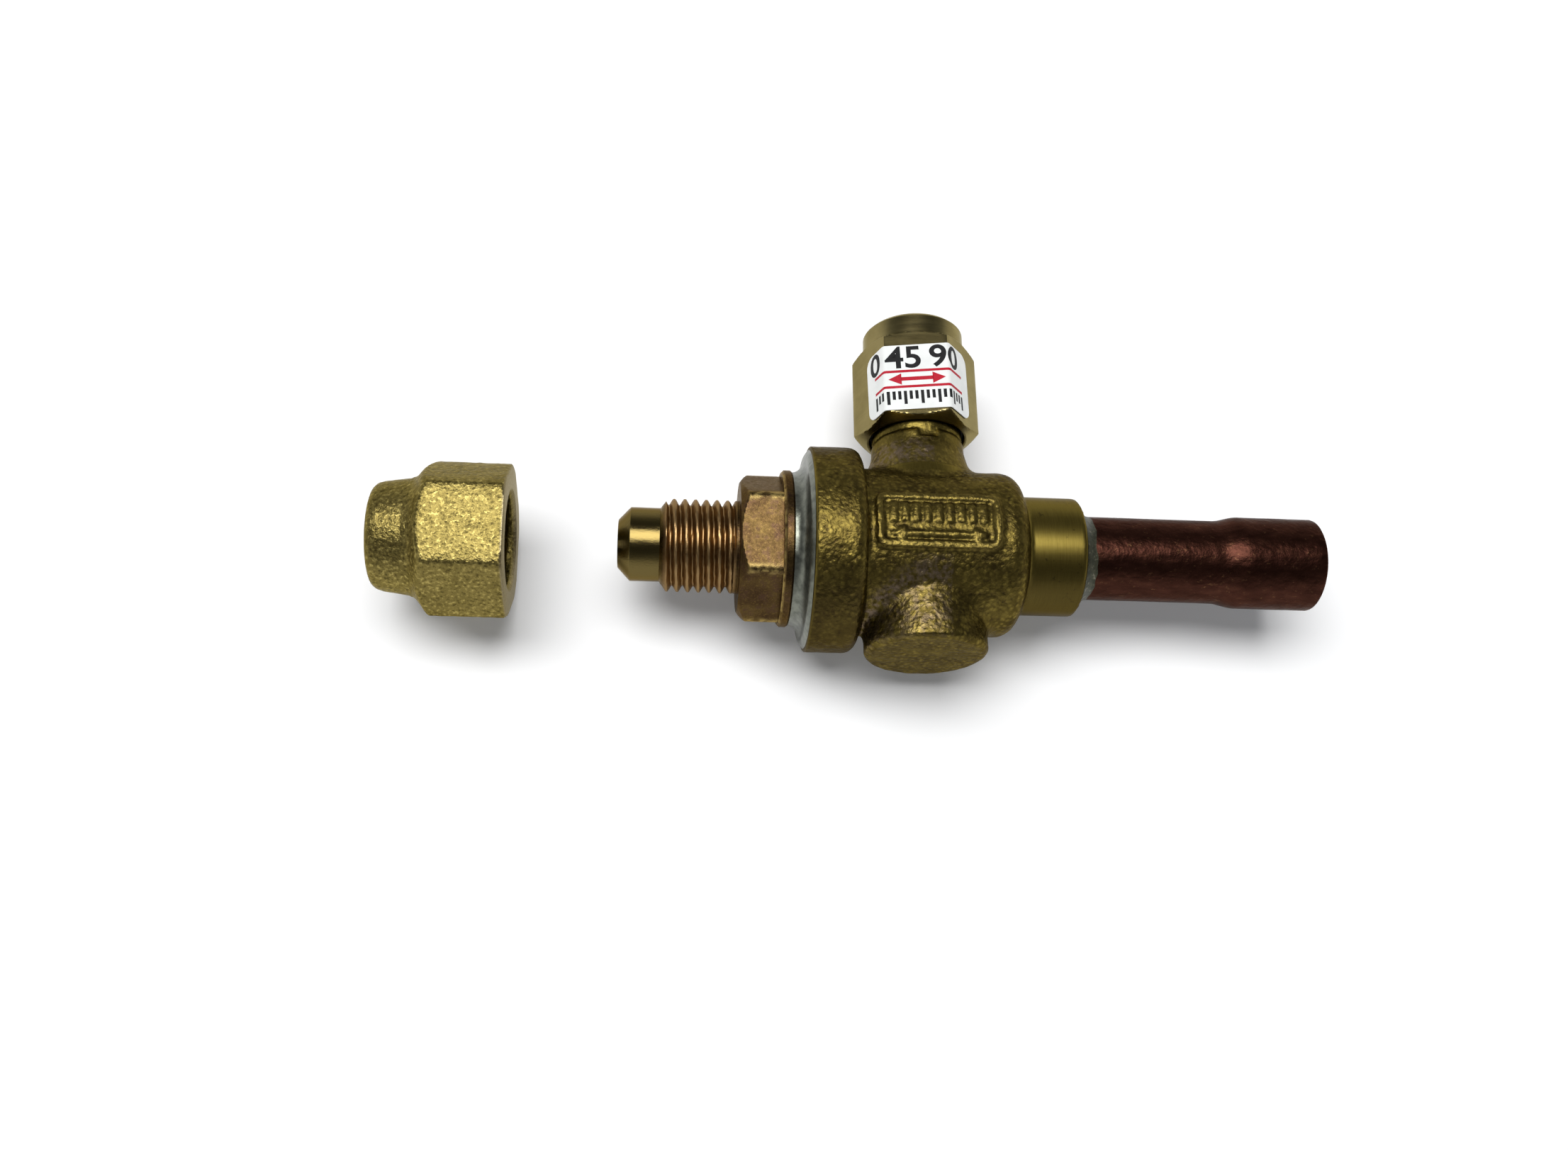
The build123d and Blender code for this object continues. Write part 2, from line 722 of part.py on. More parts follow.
with BuildPart() as braze_ring:
    with BuildSketch(Plane.XY):
        with BuildLine():
            face_side = Line((spigot_end, stub_r + fit), (spigot_end, stub_r + braze_rise))
            slope = RadiusArc(face_side @ 1, (spigot_end + braze_len, stub_r + fit), -braze_hollow)
            Line(slope @ 1, face_side @ 0)
        make_face()
    revolve(axis=Axis.X)
braze_ring.part.label = "braze_ring"
export_step(braze_ring.part, "parts/braze_ring.step")

# ---- Flare nut, forged with a hexagon and a round nose, lying off the valve ----
nut_corner_r = nut_flats / sqrt(3)
nut_hex_left = nut_mouth - nut_hex_len
nut_nose_end = nut_mouth - nut_len
nut_bore_r = thread_r + thread_fit
nut_cone_len = nut_bore_r - nut_tube_hole / 2
with BuildPart() as flare_nut:
    with BuildSketch(across(nut_nose_end)):
        RegularPolygon(nut_flats / 2, 6, major_radius=False, rotation=nut_turn)
    extrude(amount=nut_len)
    with BuildSketch(Plane.XY) as nut_section:
        with BuildLine():
            Polyline(
                (nut_nose_end, 0),
                (nut_nose_end, nut_nose_end_d / 2),
                (nut_hex_left, nut_nose_d / 2),
                (nut_hex_left + nut_neck_len, nut_corner_r),
                (nut_mouth - nut_mouth_edge, nut_corner_r),
                (nut_mouth, nut_corner_r - nut_mouth_edge / tan(radians(nut_mouth_slope))),
                (nut_mouth, 0),
                close=True,
            )
        make_face()
        nose_corner = (nut_nose_end, nut_nose_end_d / 2)
        fillet(nut_section.vertices().sort_by_distance(nose_corner)[0], nut_nose_round)
        neck_corner = (nut_hex_left, nut_nose_d / 2)
        fillet(nut_section.vertices().sort_by_distance(neck_corner)[0], nut_nose_round)
        shoulder_corner = (nut_hex_left + nut_neck_len, nut_corner_r)
        fillet(nut_section.vertices().sort_by_distance(shoulder_corner)[0], nut_nose_round)
    revolve(axis=Axis.X, mode=Mode.INTERSECT)
    with BuildSketch(Plane.XY):
        with BuildLine():
            Polyline(
                (nut_nose_end - cut_past, 0),
                (nut_nose_end - cut_past, nut_tube_hole / 2),
                (nut_mouth - nut_thread_len - nut_cone_len, nut_tube_hole / 2),
                (nut_mouth - nut_thread_len, nut_bore_r),
                (nut_mouth - nut_mouth_edge, nut_bore_r),
                (nut_mouth, nut_bore_r + nut_mouth_edge),
                (nut_mouth, 0),
                close=True,
            )
        make_face()
    revolve(axis=Axis.X, mode=Mode.SUBTRACT)
flare_nut.part.label = "flare_nut"
export_step(flare_nut.part, "parts/flare_nut.step")
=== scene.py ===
"""Looks of a small refrigerant ball valve and its loose flare nut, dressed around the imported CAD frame."""

import math

import bmesh
import bpy
import numpy as np
from mathutils import Matrix, Vector


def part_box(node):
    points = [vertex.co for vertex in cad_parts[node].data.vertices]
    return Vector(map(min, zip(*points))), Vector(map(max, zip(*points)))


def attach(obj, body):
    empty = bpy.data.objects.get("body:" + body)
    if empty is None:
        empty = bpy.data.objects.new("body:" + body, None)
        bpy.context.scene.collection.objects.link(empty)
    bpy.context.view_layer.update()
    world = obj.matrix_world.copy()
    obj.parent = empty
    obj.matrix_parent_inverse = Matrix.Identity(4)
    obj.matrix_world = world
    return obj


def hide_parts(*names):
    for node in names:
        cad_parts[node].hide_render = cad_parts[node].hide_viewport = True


MM = 0.001  # every size below is in millimetres, and every mesh in metres
TAU = 2 * math.pi

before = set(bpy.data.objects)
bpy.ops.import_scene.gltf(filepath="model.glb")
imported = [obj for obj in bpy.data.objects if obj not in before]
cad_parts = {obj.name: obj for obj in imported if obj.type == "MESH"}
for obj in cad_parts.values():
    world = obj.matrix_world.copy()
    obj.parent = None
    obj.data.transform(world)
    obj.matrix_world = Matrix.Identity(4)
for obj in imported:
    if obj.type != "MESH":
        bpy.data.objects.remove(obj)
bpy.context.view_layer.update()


# ---- Places taken from the frame ---------------------------------------------
def span(node, axis):
    """Lowest and highest place of a CAD node along an axis, in millimetres."""
    low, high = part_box(node)
    return low[axis] / MM, high[axis] / MM


ball_x = sum(span("ball", 0)) / 2
flare_tip, plug_face = span("flare_adaptor", 0)
bead_left, rim_x = span("seal_bead", 0)
nut_end, nut_mouth = span("flare_nut", 0)
spigot_end = span("braze_ring", 0)[0]
stub_end = span("copper_stub", 0)[0]
cap_bottom, cap_top = span("cap", 1)
floor_z = span("body", 2)[0]

# ---- Sizes of the pieces that are modelled again here --------------------------
tip_r, flare_bore_r, pilot_r, pilot_len = 3.0, 2.3, 4.4, 3.5
thread_r, thread_pitch, thread_turns, thread_depth = 5.555, 1.27, 6, 0.74
thread_runout, shoulder_len = 0.85, 0.8
hex_flats, hex_len, hex_turn, hex_edge = 15.9, 4.9, 8.5, 1.4
collar_r, collar_len, plug_r, plug_len, seat_r, port_r = 9.4, 1.2, 8.5, 4.4, 6.6, 3.2
nut_flats, nut_hex_len, nut_turn, nut_thread_len = 16.8, 10.6, 10.0, 9.5
nut_nose_r, nut_nose_end_r, nut_hole_r, nut_bore_r = 7.05, 6.3, 3.25, 5.635
cap_flats, cap_low, cap_high, cap_head_r, cap_turn = 13.6, 16.0, 26.3, 6.35, -8.0
cap_bottom_r, cap_recess_r, cap_recess_len, cap_chamfer = 6.2, 5.9, 1.75, 30
cap_thread_r, cap_thread_end, cap_hollow_r, cap_roof = 5.28, 22.0, 4.0, 2.8
barrel_r, ring_r = 10.0, 12.4
socket_r, socket_len, swage_len, stub_bore_r, tube_wall = 4.8, 10.0, 1.8, 4.25, 0.85
label_width, label_len, label_shift, label_tilt, label_middle = 16.3, 8.9, 0.5, 2.0, 20.5
fold_at, fold_soft, paper_high = cap_flats / 2 / math.sqrt(3), 0.3, 0.1
ink_low, ink_high, print_reach = 0.09, 0.115, 6.4


# ---- Noise, worked out on points in millimetres --------------------------------
def lattice(cell, seed):
    """A repeatable random number from 0 to 1 for each whole-number cell."""
    spread = (374761393, 668265263, 2147483647)
    stir = 1274126177
    h = cell[..., 0] * spread[0] + cell[..., 1] * spread[1] + cell[..., 2] * spread[2] + seed * stir
    h = (h ^ (h >> 13)) * stir
    h = h ^ (h >> 16)
    return (h & 0xFFFF).astype(float) / 0xFFFF


def noise(points, size, seed):
    """Smooth noise from -1 to 1 with features of this size."""
    p = np.asarray(points, float) / size
    base = np.floor(p).astype(np.int64)
    f = p - base
    f = f * f * (3 - 2 * f)
    total = 0.0
    for dx in (0, 1):
        for dy in (0, 1):
            for dz in (0, 1):
                weight = 1.0
                for axis, d in enumerate((dx, dy, dz)):
                    weight = weight * (f[..., axis] if d else 1 - f[..., axis])
                total = total + weight * lattice(base + np.array((dx, dy, dz)), seed)
    return 2 * total - 1


def rough(points, size, seed, octaves=3):
    """Several sizes of noise added together, from about -1 to 1."""
    fade, reach = 0.55, 1.6
    total, weight = 0.0, 1.0
    for k in range(octaves):
        total = total + weight * noise(points, size / 2**k, seed + k)
        weight *= fade
    return total / reach


# ---- Mesh builders ---------------------------------------------------------------
def mesh_object(name, points, faces, sharp=40.0):
    """An object from points in millimetres and faces, smooth but for edges over the given angle."""
    mesh = bpy.data.meshes.new(name)
    mesh.from_pydata((np.asarray(points) * MM).tolist(), [], faces)
    mesh.validate()
    bm = bmesh.new()
    bm.from_mesh(mesh)
    bmesh.ops.recalc_face_normals(bm, faces=bm.faces)
    bm.to_mesh(mesh)
    bm.free()
    mesh.shade_smooth()
    mesh.set_sharp_from_angle(angle=math.radians(sharp))
    obj = bpy.data.objects.new(name, mesh)
    bpy.context.scene.collection.objects.link(obj)
    return obj


def angles(count):
    """Angles all the way round a circle, the last one short of the first."""
    return np.arange(count) * TAU / count


def flow_point(s, r, a):
    """Points round the flow axis; the angle runs from +Y towards +Z."""
    return np.stack(np.broadcast_arrays(s, r * np.cos(a), r * np.sin(a)), -1)


def stem_point(s, r, a):
    """Points round the stem axis; the angle runs from +X towards +Z."""
    return np.stack(np.broadcast_arrays(ball_x + r * np.cos(a), s, r * np.sin(a)), -1)


def turned(name, place, rings, count, closed, grain=0.0, grain_size=1.0, seed=1, sharp=40.0):
    """A skin through rings of (station, radius or radii); closed joins the last ring to the first."""
    a = angles(count)
    grid = np.array([place(s, np.broadcast_to(r, (count,)), a) for s, r in rings])
    if grain:
        axis = np.array([place(s, np.zeros(count), a) for s, r in rings])
        away = grid - axis
        size = np.maximum(np.linalg.norm(away, axis=-1, keepdims=True), 1e-6)
        push = (rough(grid, grain_size, seed) - 1)[..., None] * grain / 2
        grid = grid + away / size * push
    rows = len(rings)
    points = grid.reshape(-1, 3).tolist()
    faces = []
    for i in range(rows if closed else rows - 1):
        j = (i + 1) % rows
        for k in range(count):
            n = (k + 1) % count
            faces.append((i * count + k, i * count + n, j * count + n, j * count + k))
    if not closed:
        for i in (0, rows - 1):
            s = rings[i][0]
            points.append(place(s, np.zeros(1), np.zeros(1))[0].tolist())
            centre = len(points) - 1
            for k in range(count):
                faces.append((centre, i * count + k, i * count + (k + 1) % count))
    return mesh_object(name, points, faces, sharp)


def corner(flats):
    """Radius of a hexagon's corners, from its size across flats."""
    return flats / math.sqrt(3)


def hexagon(a, flats, turn, softness=0.12):
    """Radius of a hexagon with slightly rounded corners at each angle."""
    folded = np.mod(a - math.radians(turn) + TAU, TAU / 6) - TAU / 12
    radius = flats / 2 / np.cos(folded)
    below_corner = (corner(flats) - radius) / (2 * softness)
    return radius - softness * np.exp(-(below_corner**1.2))


def soft_min(a, b, blend):
    """The smaller of two radii, with the crease between them rounded."""
    h = np.clip(0.5 + (b - a) / (2 * blend), 0, 1)
    return b * (1 - h) + a * h - blend * h * (1 - h)


def steps(start, end, count):
    """Evenly spaced stations, both ends included."""
    return np.linspace(start, end, count)


# ---- Node materials ---------------------------------------------------------------
class Shader:
    """A small helper that adds nodes to one material."""

    def __init__(self, name, metallic=1.0, rough_value=0.4, rim=(1, 1, 1)):
        self.material = bpy.data.materials.new(name)
        self.material.use_nodes = True
        self.tree = self.material.node_tree
        self.shader = self.tree.nodes["Principled BSDF"]
        self.shader.inputs["Metallic"].default_value = metallic
        self.shader.inputs["Roughness"].default_value = rough_value
        self.shader.inputs["Specular Tint"].default_value = (*rim, 1)
        self.coords = self.node("ShaderNodeTexCoord").outputs["Object"]

    def node(self, kind, **values):
        """A new node with these settings."""
        node = self.tree.nodes.new(kind)
        for key, value in values.items():
            setattr(node, key, value)
        return node

    def link(self, a, b):
        """Joins an output to an input."""
        self.tree.links.new(a, b)

    def feed(self, value, socket):
        """Gives an input an output to follow, a colour or a number."""
        if isinstance(value, bpy.types.NodeSocket):
            self.link(value, socket)
        elif hasattr(value, "__len__"):
            socket.default_value = (*value, 1)
        else:
            socket.default_value = value

    def noise(self, size, detail=4.0, roughness=0.55, stretch=(1, 1, 1)):
        """Noise with features of this size in millimetres, stretched along some axes."""
        mapping = self.node("ShaderNodeMapping")
        mapping.inputs["Scale"].default_value = [1 / s for s in stretch]
        self.link(self.coords, mapping.inputs["Vector"])
        texture = self.node("ShaderNodeTexNoise")
        texture.inputs["Scale"].default_value = 1 / (size * MM)
        texture.inputs["Detail"].default_value = detail
        texture.inputs["Roughness"].default_value = roughness
        self.link(mapping.outputs["Vector"], texture.inputs["Vector"])
        return texture.outputs["Fac"]

    def cells(self, size, stray):
        """Distance from the middle of uneven lumps of this size in millimetres."""
        wander = self.node("ShaderNodeTexNoise")
        wander.inputs["Scale"].default_value = 1 / (size * MM)
        self.link(self.coords, wander.inputs["Vector"])
        shift = self.node("ShaderNodeVectorMath", operation="MULTIPLY_ADD")
        shift.inputs[1].default_value = (stray * size * MM,) * 3
        self.link(wander.outputs["Color"], shift.inputs[0])
        self.link(self.coords, shift.inputs[2])
        texture = self.node("ShaderNodeTexVoronoi", feature="SMOOTH_F1")
        texture.inputs["Scale"].default_value = 1 / (size * MM)
        texture.inputs["Smoothness"].default_value = 0.5
        self.link(shift.outputs["Vector"], texture.inputs["Vector"])
        return texture.outputs["Distance"]

    def ramp(self, value, *stops):
        """A colour ramp through (position, grey or colour) stops."""
        ramp = self.node("ShaderNodeValToRGB")
        elements = ramp.color_ramp.elements
        while len(elements) < len(stops):
            elements.new(0.5)
        for element, (position, colour) in zip(elements, stops):
            element.position = position
            element.color = (*colour, 1) if hasattr(colour, "__len__") else (colour, colour, colour, 1)
        self.link(value, ramp.inputs["Fac"])
        return ramp.outputs["Color"]

    def mix(self, factor, a, b):
        """A where the factor is 0, b where it is 1."""
        node = self.node("ShaderNodeMix", data_type="RGBA")
        self.feed(factor, node.inputs["Factor"])
        self.feed(a, node.inputs["A"])
        self.feed(b, node.inputs["B"])
        return node.outputs["Result"]

    def attribute(self, name):
        """A value painted on the points of the mesh."""
        return self.node("ShaderNodeAttribute", attribute_name=name).outputs["Fac"]

    def math(self, operation, a, b):
        """One sum on two values."""
        node = self.node("ShaderNodeMath", operation=operation)
        self.feed(a, node.inputs[0])
        self.feed(b, node.inputs[1])
        return node.outputs["Value"]

    def colour(self, socket):
        """Sets the base colour."""
        self.link(socket, self.shader.inputs["Base Color"])

    def roughness(self, value, low, high):
        """Sets the roughness, from low where the value is 0 to high where it is 1."""
        node = self.node("ShaderNodeMapRange")
        node.inputs["To Min"].default_value = low
        node.inputs["To Max"].default_value = high
        self.link(value, node.inputs["Value"])
        self.link(node.outputs["Result"], self.shader.inputs["Roughness"])

    def bump(self, height, depth, strength=1.0, under=None):
        """Bumps of this depth in millimetres."""
        node = self.node("ShaderNodeBump")
        node.inputs["Strength"].default_value = strength
        node.inputs["Distance"].default_value = depth * MM
        self.link(height, node.inputs["Height"])
        if under is not None:
            self.link(under, node.inputs["Normal"])
        self.link(node.outputs["Normal"], self.shader.inputs["Normal"])
        return node.outputs["Normal"]


def darker(tone, share):
    """A tone with only this share of its brightness."""
    return tuple(share * c for c in tone)


def cast_brass():
    """Forged skin with pits and flux, gold on its lumps that is partly painted glint, rubbed gold that is
    partly painted highlight, painted shade on both sides of the ring and the spigot's side towards the boss,
    and bright where it was turned.
    """
    m = Shader("cast_brass", rim=(0.6, 0.56, 0.5))
    dark, plain, light = (0.05, 0.036, 0.0105), (0.085, 0.062, 0.015), (0.125, 0.093, 0.022)
    gold_and_glint, pit, pale_gold = (0.22, 0.165, 0.038), (0.03, 0.02, 0.009), (0.24, 0.18, 0.048)
    flux, stain, painted_shade = (0.19, 0.14, 0.1), (0.045, 0.034, 0.012), (0.03, 0.02, 0.008)
    turned_dark, turned_light = (0.112, 0.083, 0.0175), (0.17, 0.128, 0.029)
    tone = m.ramp(m.noise(2.6, 5), (0.3, dark), (0.55, plain), (0.75, light))
    lump = m.cells(0.55, 0.6)
    patch = m.ramp(m.noise(1.5, 4), (0.35, 0.15), (0.65, 1.0))
    # gold on the lump tops: partly worn high points, partly painted glints
    tone = m.mix(m.math("MULTIPLY", m.ramp(lump, (0.1, 1.0), (0.6, 0.0)), patch), tone, gold_and_glint)
    pits = m.ramp(m.noise(0.6, 4), (0.3, 1.0), (0.45, 0.0))
    tone = m.mix(m.math("MULTIPLY", pits, 0.7), tone, pit)
    # rubbed gold: worn plate marks and spots, and a painted highlight on the neck's foot
    tone = m.mix(m.math("MULTIPLY", m.attribute("wear_and_highlight"), 0.55), tone, pale_gold)
    flecks = m.ramp(m.noise(0.7, 5), (0.42, 0.0), (0.6, 0.8))
    tone = m.mix(m.math("MULTIPLY", m.attribute("flux"), flecks), tone, flux)
    tool_marks = m.noise(0.05, 4, stretch=(1, 40, 40))
    bright = m.ramp(tool_marks, (0.3, turned_dark), (0.7, turned_light))
    bright = m.mix(m.ramp(m.noise(0.9, 4), (0.64, 0.0), (0.7, 0.55)), bright, stain)
    tone = m.mix(m.attribute("machined"), tone, bright)
    # painted shade: darkens both sides of the ring and the spigot's side towards the boss
    m.colour(m.mix(m.math("MULTIPLY", m.attribute("painted_shade"), 0.6), tone, painted_shade))
    as_cast = m.math("SUBTRACT", 1.0, m.attribute("machined"))
    m.roughness(m.math("MULTIPLY", m.noise(0.5, 3), as_cast), 0.33, 0.46)
    height = m.math("SUBTRACT", m.noise(0.6, 3), m.math("MULTIPLY", lump, 0.45))
    skin = m.bump(m.math("MULTIPLY", height, as_cast), 0.11)
    m.bump(tool_marks, 0.004, 0.5, skin)
    return m.material


def adaptor_brass():
    """Turned brass stained by heat, cleaner on the flare nose, the thread and the worn corners."""
    m = Shader("adaptor_brass", rim=(0.68, 0.6, 0.5))
    dark, plain, light = (0.04, 0.022, 0.011), (0.06, 0.036, 0.014), (0.09, 0.058, 0.019)
    stain, mottle, clean = (0.055, 0.029, 0.02), (0.14, 0.09, 0.028), (0.125, 0.093, 0.032)
    thread, pale_gold = (0.3, 0.19, 0.085), (0.36, 0.26, 0.09)
    tone = m.ramp(m.noise(2.2, 5), (0.35, dark), (0.5, plain), (0.68, light))
    tone = m.mix(m.ramp(m.noise(1.1, 5), (0.5, 0.0), (0.64, 0.7)), tone, stain)
    tone = m.mix(m.ramp(m.noise(0.22, 3), (0.52, 0.0), (0.7, 0.5)), tone, mottle)
    tone = m.mix(m.attribute("clean"), tone, clean)
    tone = m.mix(m.attribute("thread"), tone, thread)
    rubbed = m.ramp(m.noise(0.8, 4), (0.4, 0.1), (0.6, 1.0))
    m.colour(m.mix(m.math("MULTIPLY", m.attribute("edge"), rubbed), tone, pale_gold))
    dull = m.math("SUBTRACT", 1.0, m.math("MULTIPLY", m.attribute("clean"), 0.9))
    m.roughness(m.math("MULTIPLY", m.noise(0.4, 3), dull), 0.15, 0.56)
    m.bump(m.noise(0.16, 3), 0.03, 0.6)
    return m.material


def nut_brass():
    """Blasted yellow brass with a crinkled grain, painted shade in its hollows and painted glints on its
    crests, greyer on the nut's faced end.
    """
    m = Shader("nut_brass", rim=(0.72, 0.66, 0.5))
    plain, light = (0.14, 0.108, 0.031), (0.2, 0.156, 0.047)
    hollow, crest, faced = (0.05, 0.038, 0.012), (0.5, 0.4, 0.13), (0.22, 0.185, 0.115)
    crinkle = m.noise(0.42, 3, 0.6)
    tone = m.ramp(m.noise(3.5, 4), (0.35, plain), (0.65, light))
    # painted shade in the crinkle's hollows and painted glints on its crests
    tone = m.mix(m.ramp(crinkle, (0.34, 0.75), (0.46, 0.0)), tone, hollow)
    tone = m.mix(m.ramp(crinkle, (0.54, 0.0), (0.7, 0.7)), tone, crest)
    m.colour(m.mix(m.attribute("face"), tone, faced))
    m.roughness(m.noise(0.3, 3), 0.25, 0.42)
    m.bump(crinkle, 0.14, 0.9)
    return m.material


def cap_brass():
    """Smooth milled brass, brushed round the stem axis."""
    m = Shader("cap_brass", rim=(0.8, 0.76, 0.62))
    tone = m.ramp(m.noise(3.0, 4), (0.35, (0.2, 0.16, 0.065)), (0.65, (0.27, 0.22, 0.095)))
    brush = m.noise(0.08, 4, stretch=(40, 1, 40))
    m.colour(m.mix(m.ramp(brush, (0.4, 0.0), (0.7, 0.35)), tone, (0.14, 0.11, 0.045)))
    m.roughness(m.noise(0.6, 3, stretch=(12, 1, 12)), 0.16, 0.3)
    m.bump(brush, 0.005, 0.5)
    return m.material


def seal_metal():
    """Grey soft metal."""
    m = Shader("seal_metal", metallic=0.95)
    m.colour(m.ramp(m.noise(0.9, 5), (0.35, (0.1, 0.106, 0.087)), (0.65, (0.19, 0.198, 0.163))))
    m.roughness(m.noise(0.4, 3), 0.24, 0.42)
    m.bump(m.noise(0.4, 4), 0.03, 0.5)
    return m.material


def stub_copper():
    """Dark oxidised copper with a few scratches and shallow dents."""
    m = Shader("stub_copper", rim=(0.6, 0.56, 0.54))
    dark, plain, light = (0.033, 0.012, 0.008), (0.048, 0.0175, 0.0115), (0.068, 0.026, 0.016)
    tone = m.ramp(m.noise(1.1, 5, stretch=(2.5, 1, 1)), (0.35, dark), (0.55, plain), (0.72, light))
    marks = m.ramp(m.noise(0.45, 5, 0.7, stretch=(1.6, 1, 1)), (0.6, 0.0), (0.7, 0.7))
    m.colour(m.mix(marks, tone, (0.16, 0.08, 0.038)))
    m.roughness(m.noise(0.7, 4, stretch=(3, 1, 1)), 0.27, 0.42)
    drawn = m.bump(m.noise(0.16, 3, stretch=(30, 1, 1)), 0.006, 0.5)
    m.bump(m.noise(1.1, 3), 0.12, 0.8, drawn)
    return m.material


def braze_metal():
    """Dull braze, darkened by flux."""
    m = Shader("braze_metal", metallic=0.75, rough_value=0.45)
    dark, plain, light = (0.035, 0.038, 0.025), (0.065, 0.066, 0.042), (0.2, 0.19, 0.14)
    m.colour(m.ramp(m.noise(0.45, 5), (0.35, dark), (0.58, plain), (0.72, light)))
    m.bump(m.noise(0.3, 4), 0.06, 0.7)
    return m.material


def steel(name, tone, rough_value):
    """Turned or plated steel of one tone."""
    m = Shader(name, rough_value=rough_value)
    m.colour(m.ramp(m.noise(0.6, 4), (0.3, darker(tone, 0.8)), (0.7, tone)))
    m.bump(m.noise(0.15, 3, stretch=(1, 10, 1)), 0.006, 0.4)
    return m.material


def rubber():
    """Black rubber of the sealing rings."""
    m = Shader("ring_rubber", metallic=0.0, rough_value=0.55)
    m.colour(m.ramp(m.noise(0.5, 3), (0.3, 0.012), (0.7, 0.03)))
    m.bump(m.noise(0.2, 3), 0.01, 0.4)
    return m.material


def seat_plastic():
    """Off-white plastic of the seats and the washer."""
    m = Shader("seat_plastic", metallic=0.0, rough_value=0.4)
    m.colour(m.ramp(m.noise(1.0, 3), (0.3, (0.74, 0.73, 0.69)), (0.7, (0.82, 0.81, 0.77))))
    m.bump(m.noise(0.2, 3, stretch=(1, 8, 8)), 0.005, 0.4)
    return m.material


def label_paper():
    """White satin label."""
    m = Shader("label_paper", metallic=0.0, rough_value=0.38)
    m.colour(m.ramp(m.noise(2.0, 4), (0.3, (0.76, 0.78, 0.76)), (0.7, (0.84, 0.85, 0.83))))
    m.bump(m.noise(0.5, 3), 0.004, 0.4)
    return m.material


def print_ink(name, tone):
    """Matt ink with little gloss of its own."""
    m = Shader(name, metallic=0.0, rough_value=0.5)
    m.shader.inputs["Specular IOR Level"].default_value = 0.15
    m.colour(m.ramp(m.noise(0.3, 3), (0.3, darker(tone, 0.85)), (0.7, tone)))
    return m.material


# ---- Pieces -----------------------------------------------------------------------
def give(obj, material, body, slot, *nodes):
    """Gives a piece its finish and its body, and hides the CAD nodes that it stands for; the slot is not
    used.
    """
    obj.data.materials.clear()
    obj.data.materials.append(material)
    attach(obj, body)
    if nodes:
        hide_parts(*nodes)
    return obj


def vertex_points(mesh):
    """A mesh's points, in millimetres."""
    co = np.zeros(len(mesh.vertices) * 3, np.float32)
    mesh.vertices.foreach_get("co", co)
    return co.reshape(-1, 3).astype(float) / MM


def put_points(mesh, points):
    """Moves a mesh's points to places in millimetres."""
    mesh.vertices.foreach_set("co", (points * MM).astype(np.float32).ravel())
    mesh.update()


def paint(mesh, name, values):
    """Keeps a value from 0 to 1 on each point, for a material to read."""
    layer = mesh.attributes.new(name, "FLOAT", "POINT")
    layer.data.foreach_set("value", np.clip(values, 0, 1).astype(np.float32))


def vertex_normals(mesh):
    """The direction that each point of a mesh faces."""
    normals = np.zeros(len(mesh.vertices) * 3, np.float32)
    mesh.vertex_normals.foreach_get("vector", normals)
    return normals.reshape(-1, 3).astype(float)


def rise(value, start, end):
    """A smooth step from 0 at start to 1 at end."""
    t = np.clip((value - start) / (end - start), 0, 1)
    return t * t * (3 - 2 * t)


def bell(value, middle, width):
    """A smooth hump, 1 at its middle."""
    return np.exp(-(((value - middle) / width) ** 2))


def from_axes(points):
    """Distance of each point from the flow axis and from the stem axis."""
    x, y, z = points.T
    return np.hypot(y, z), np.hypot(x - ball_x, z)


def turned_places(points):
    """Where the forging was turned: spigot, rim and bores wholly, the neck's thread half."""
    spigot_start, rim_depth, thread_start, thread_reach = 11.2, 0.1, 12.7, 6.5
    bore_r, bore_half, neck_share = 7.0, 9.0, 0.5
    x, y, _ = points.T
    round_flow, round_stem = from_axes(points)
    spigot = rise(x, ball_x + spigot_start, ball_x + spigot_start + 0.3)
    rim = 1 - rise(x, rim_x + rim_depth, rim_x + rim_depth + 0.25)
    neck = neck_share * rise(y, thread_start, thread_start + 0.2) * (round_stem < thread_reach)
    bores = 1 - rise(np.minimum(round_flow, round_stem), bore_r - 0.1, bore_r)
    return np.maximum.reduce([spigot, rim, neck, bores * (np.abs(y) < bore_half)])


def wear_and_highlight_places(points, normals):
    """Where the cast skin is rubbed, partly painted highlight: raised marks of the plate, a painted
    highlight on the upper side of the neck's foot, and scattered spots, more on faces that look up or down.
    """
    plate_reach, plate_half, plate_floor = 8, 4, 8
    foot_y, foot_width, foot_r, foot_floor = 10.6, 1.6, 9, 3
    plate_share, foot_share, spot_share, spot_size = 0.5, 0.6, 0.25, 1.6
    x, y, z = points.T
    round_flow, round_stem = from_axes(points)
    raised = rise(round_flow, barrel_r + 0.12, barrel_r + 0.35)
    plate = raised * (np.abs(x - ball_x) < plate_reach) * (np.abs(y) < plate_half) * (z > plate_floor)
    # painted highlight: gold on the side of the neck's foot that faces up to the lamp and camera
    foot = bell(y, foot_y, foot_width) * (round_stem < foot_r) * (z > foot_floor)
    facing = np.clip(np.abs(normals[:, 2]) + 0.2, 0, 1)
    spots = rise(rough(points, spot_size, 23), 0.1, 0.5) * facing
    return plate_share * plate + foot_share * foot + spot_share * spots


def flux_places(points):
    """Where flux stained the skin: round the neck's foot and round the boss."""
    neck_y, neck_width, neck_reach = 11.0, 1.8, 8.5
    boss_edge, boss_width, boss_start = 8.2, 0.9, -4
    x, y, z = points.T
    round_stem = from_axes(points)[1]
    neck = bell(y, neck_y, neck_width) * (round_stem < neck_reach) * (x < ball_x + 1)
    boss = bell(round_stem, boss_edge, boss_width) * (y < boss_start) * (x < ball_x + 2) * (z > 0)
    return neck + boss


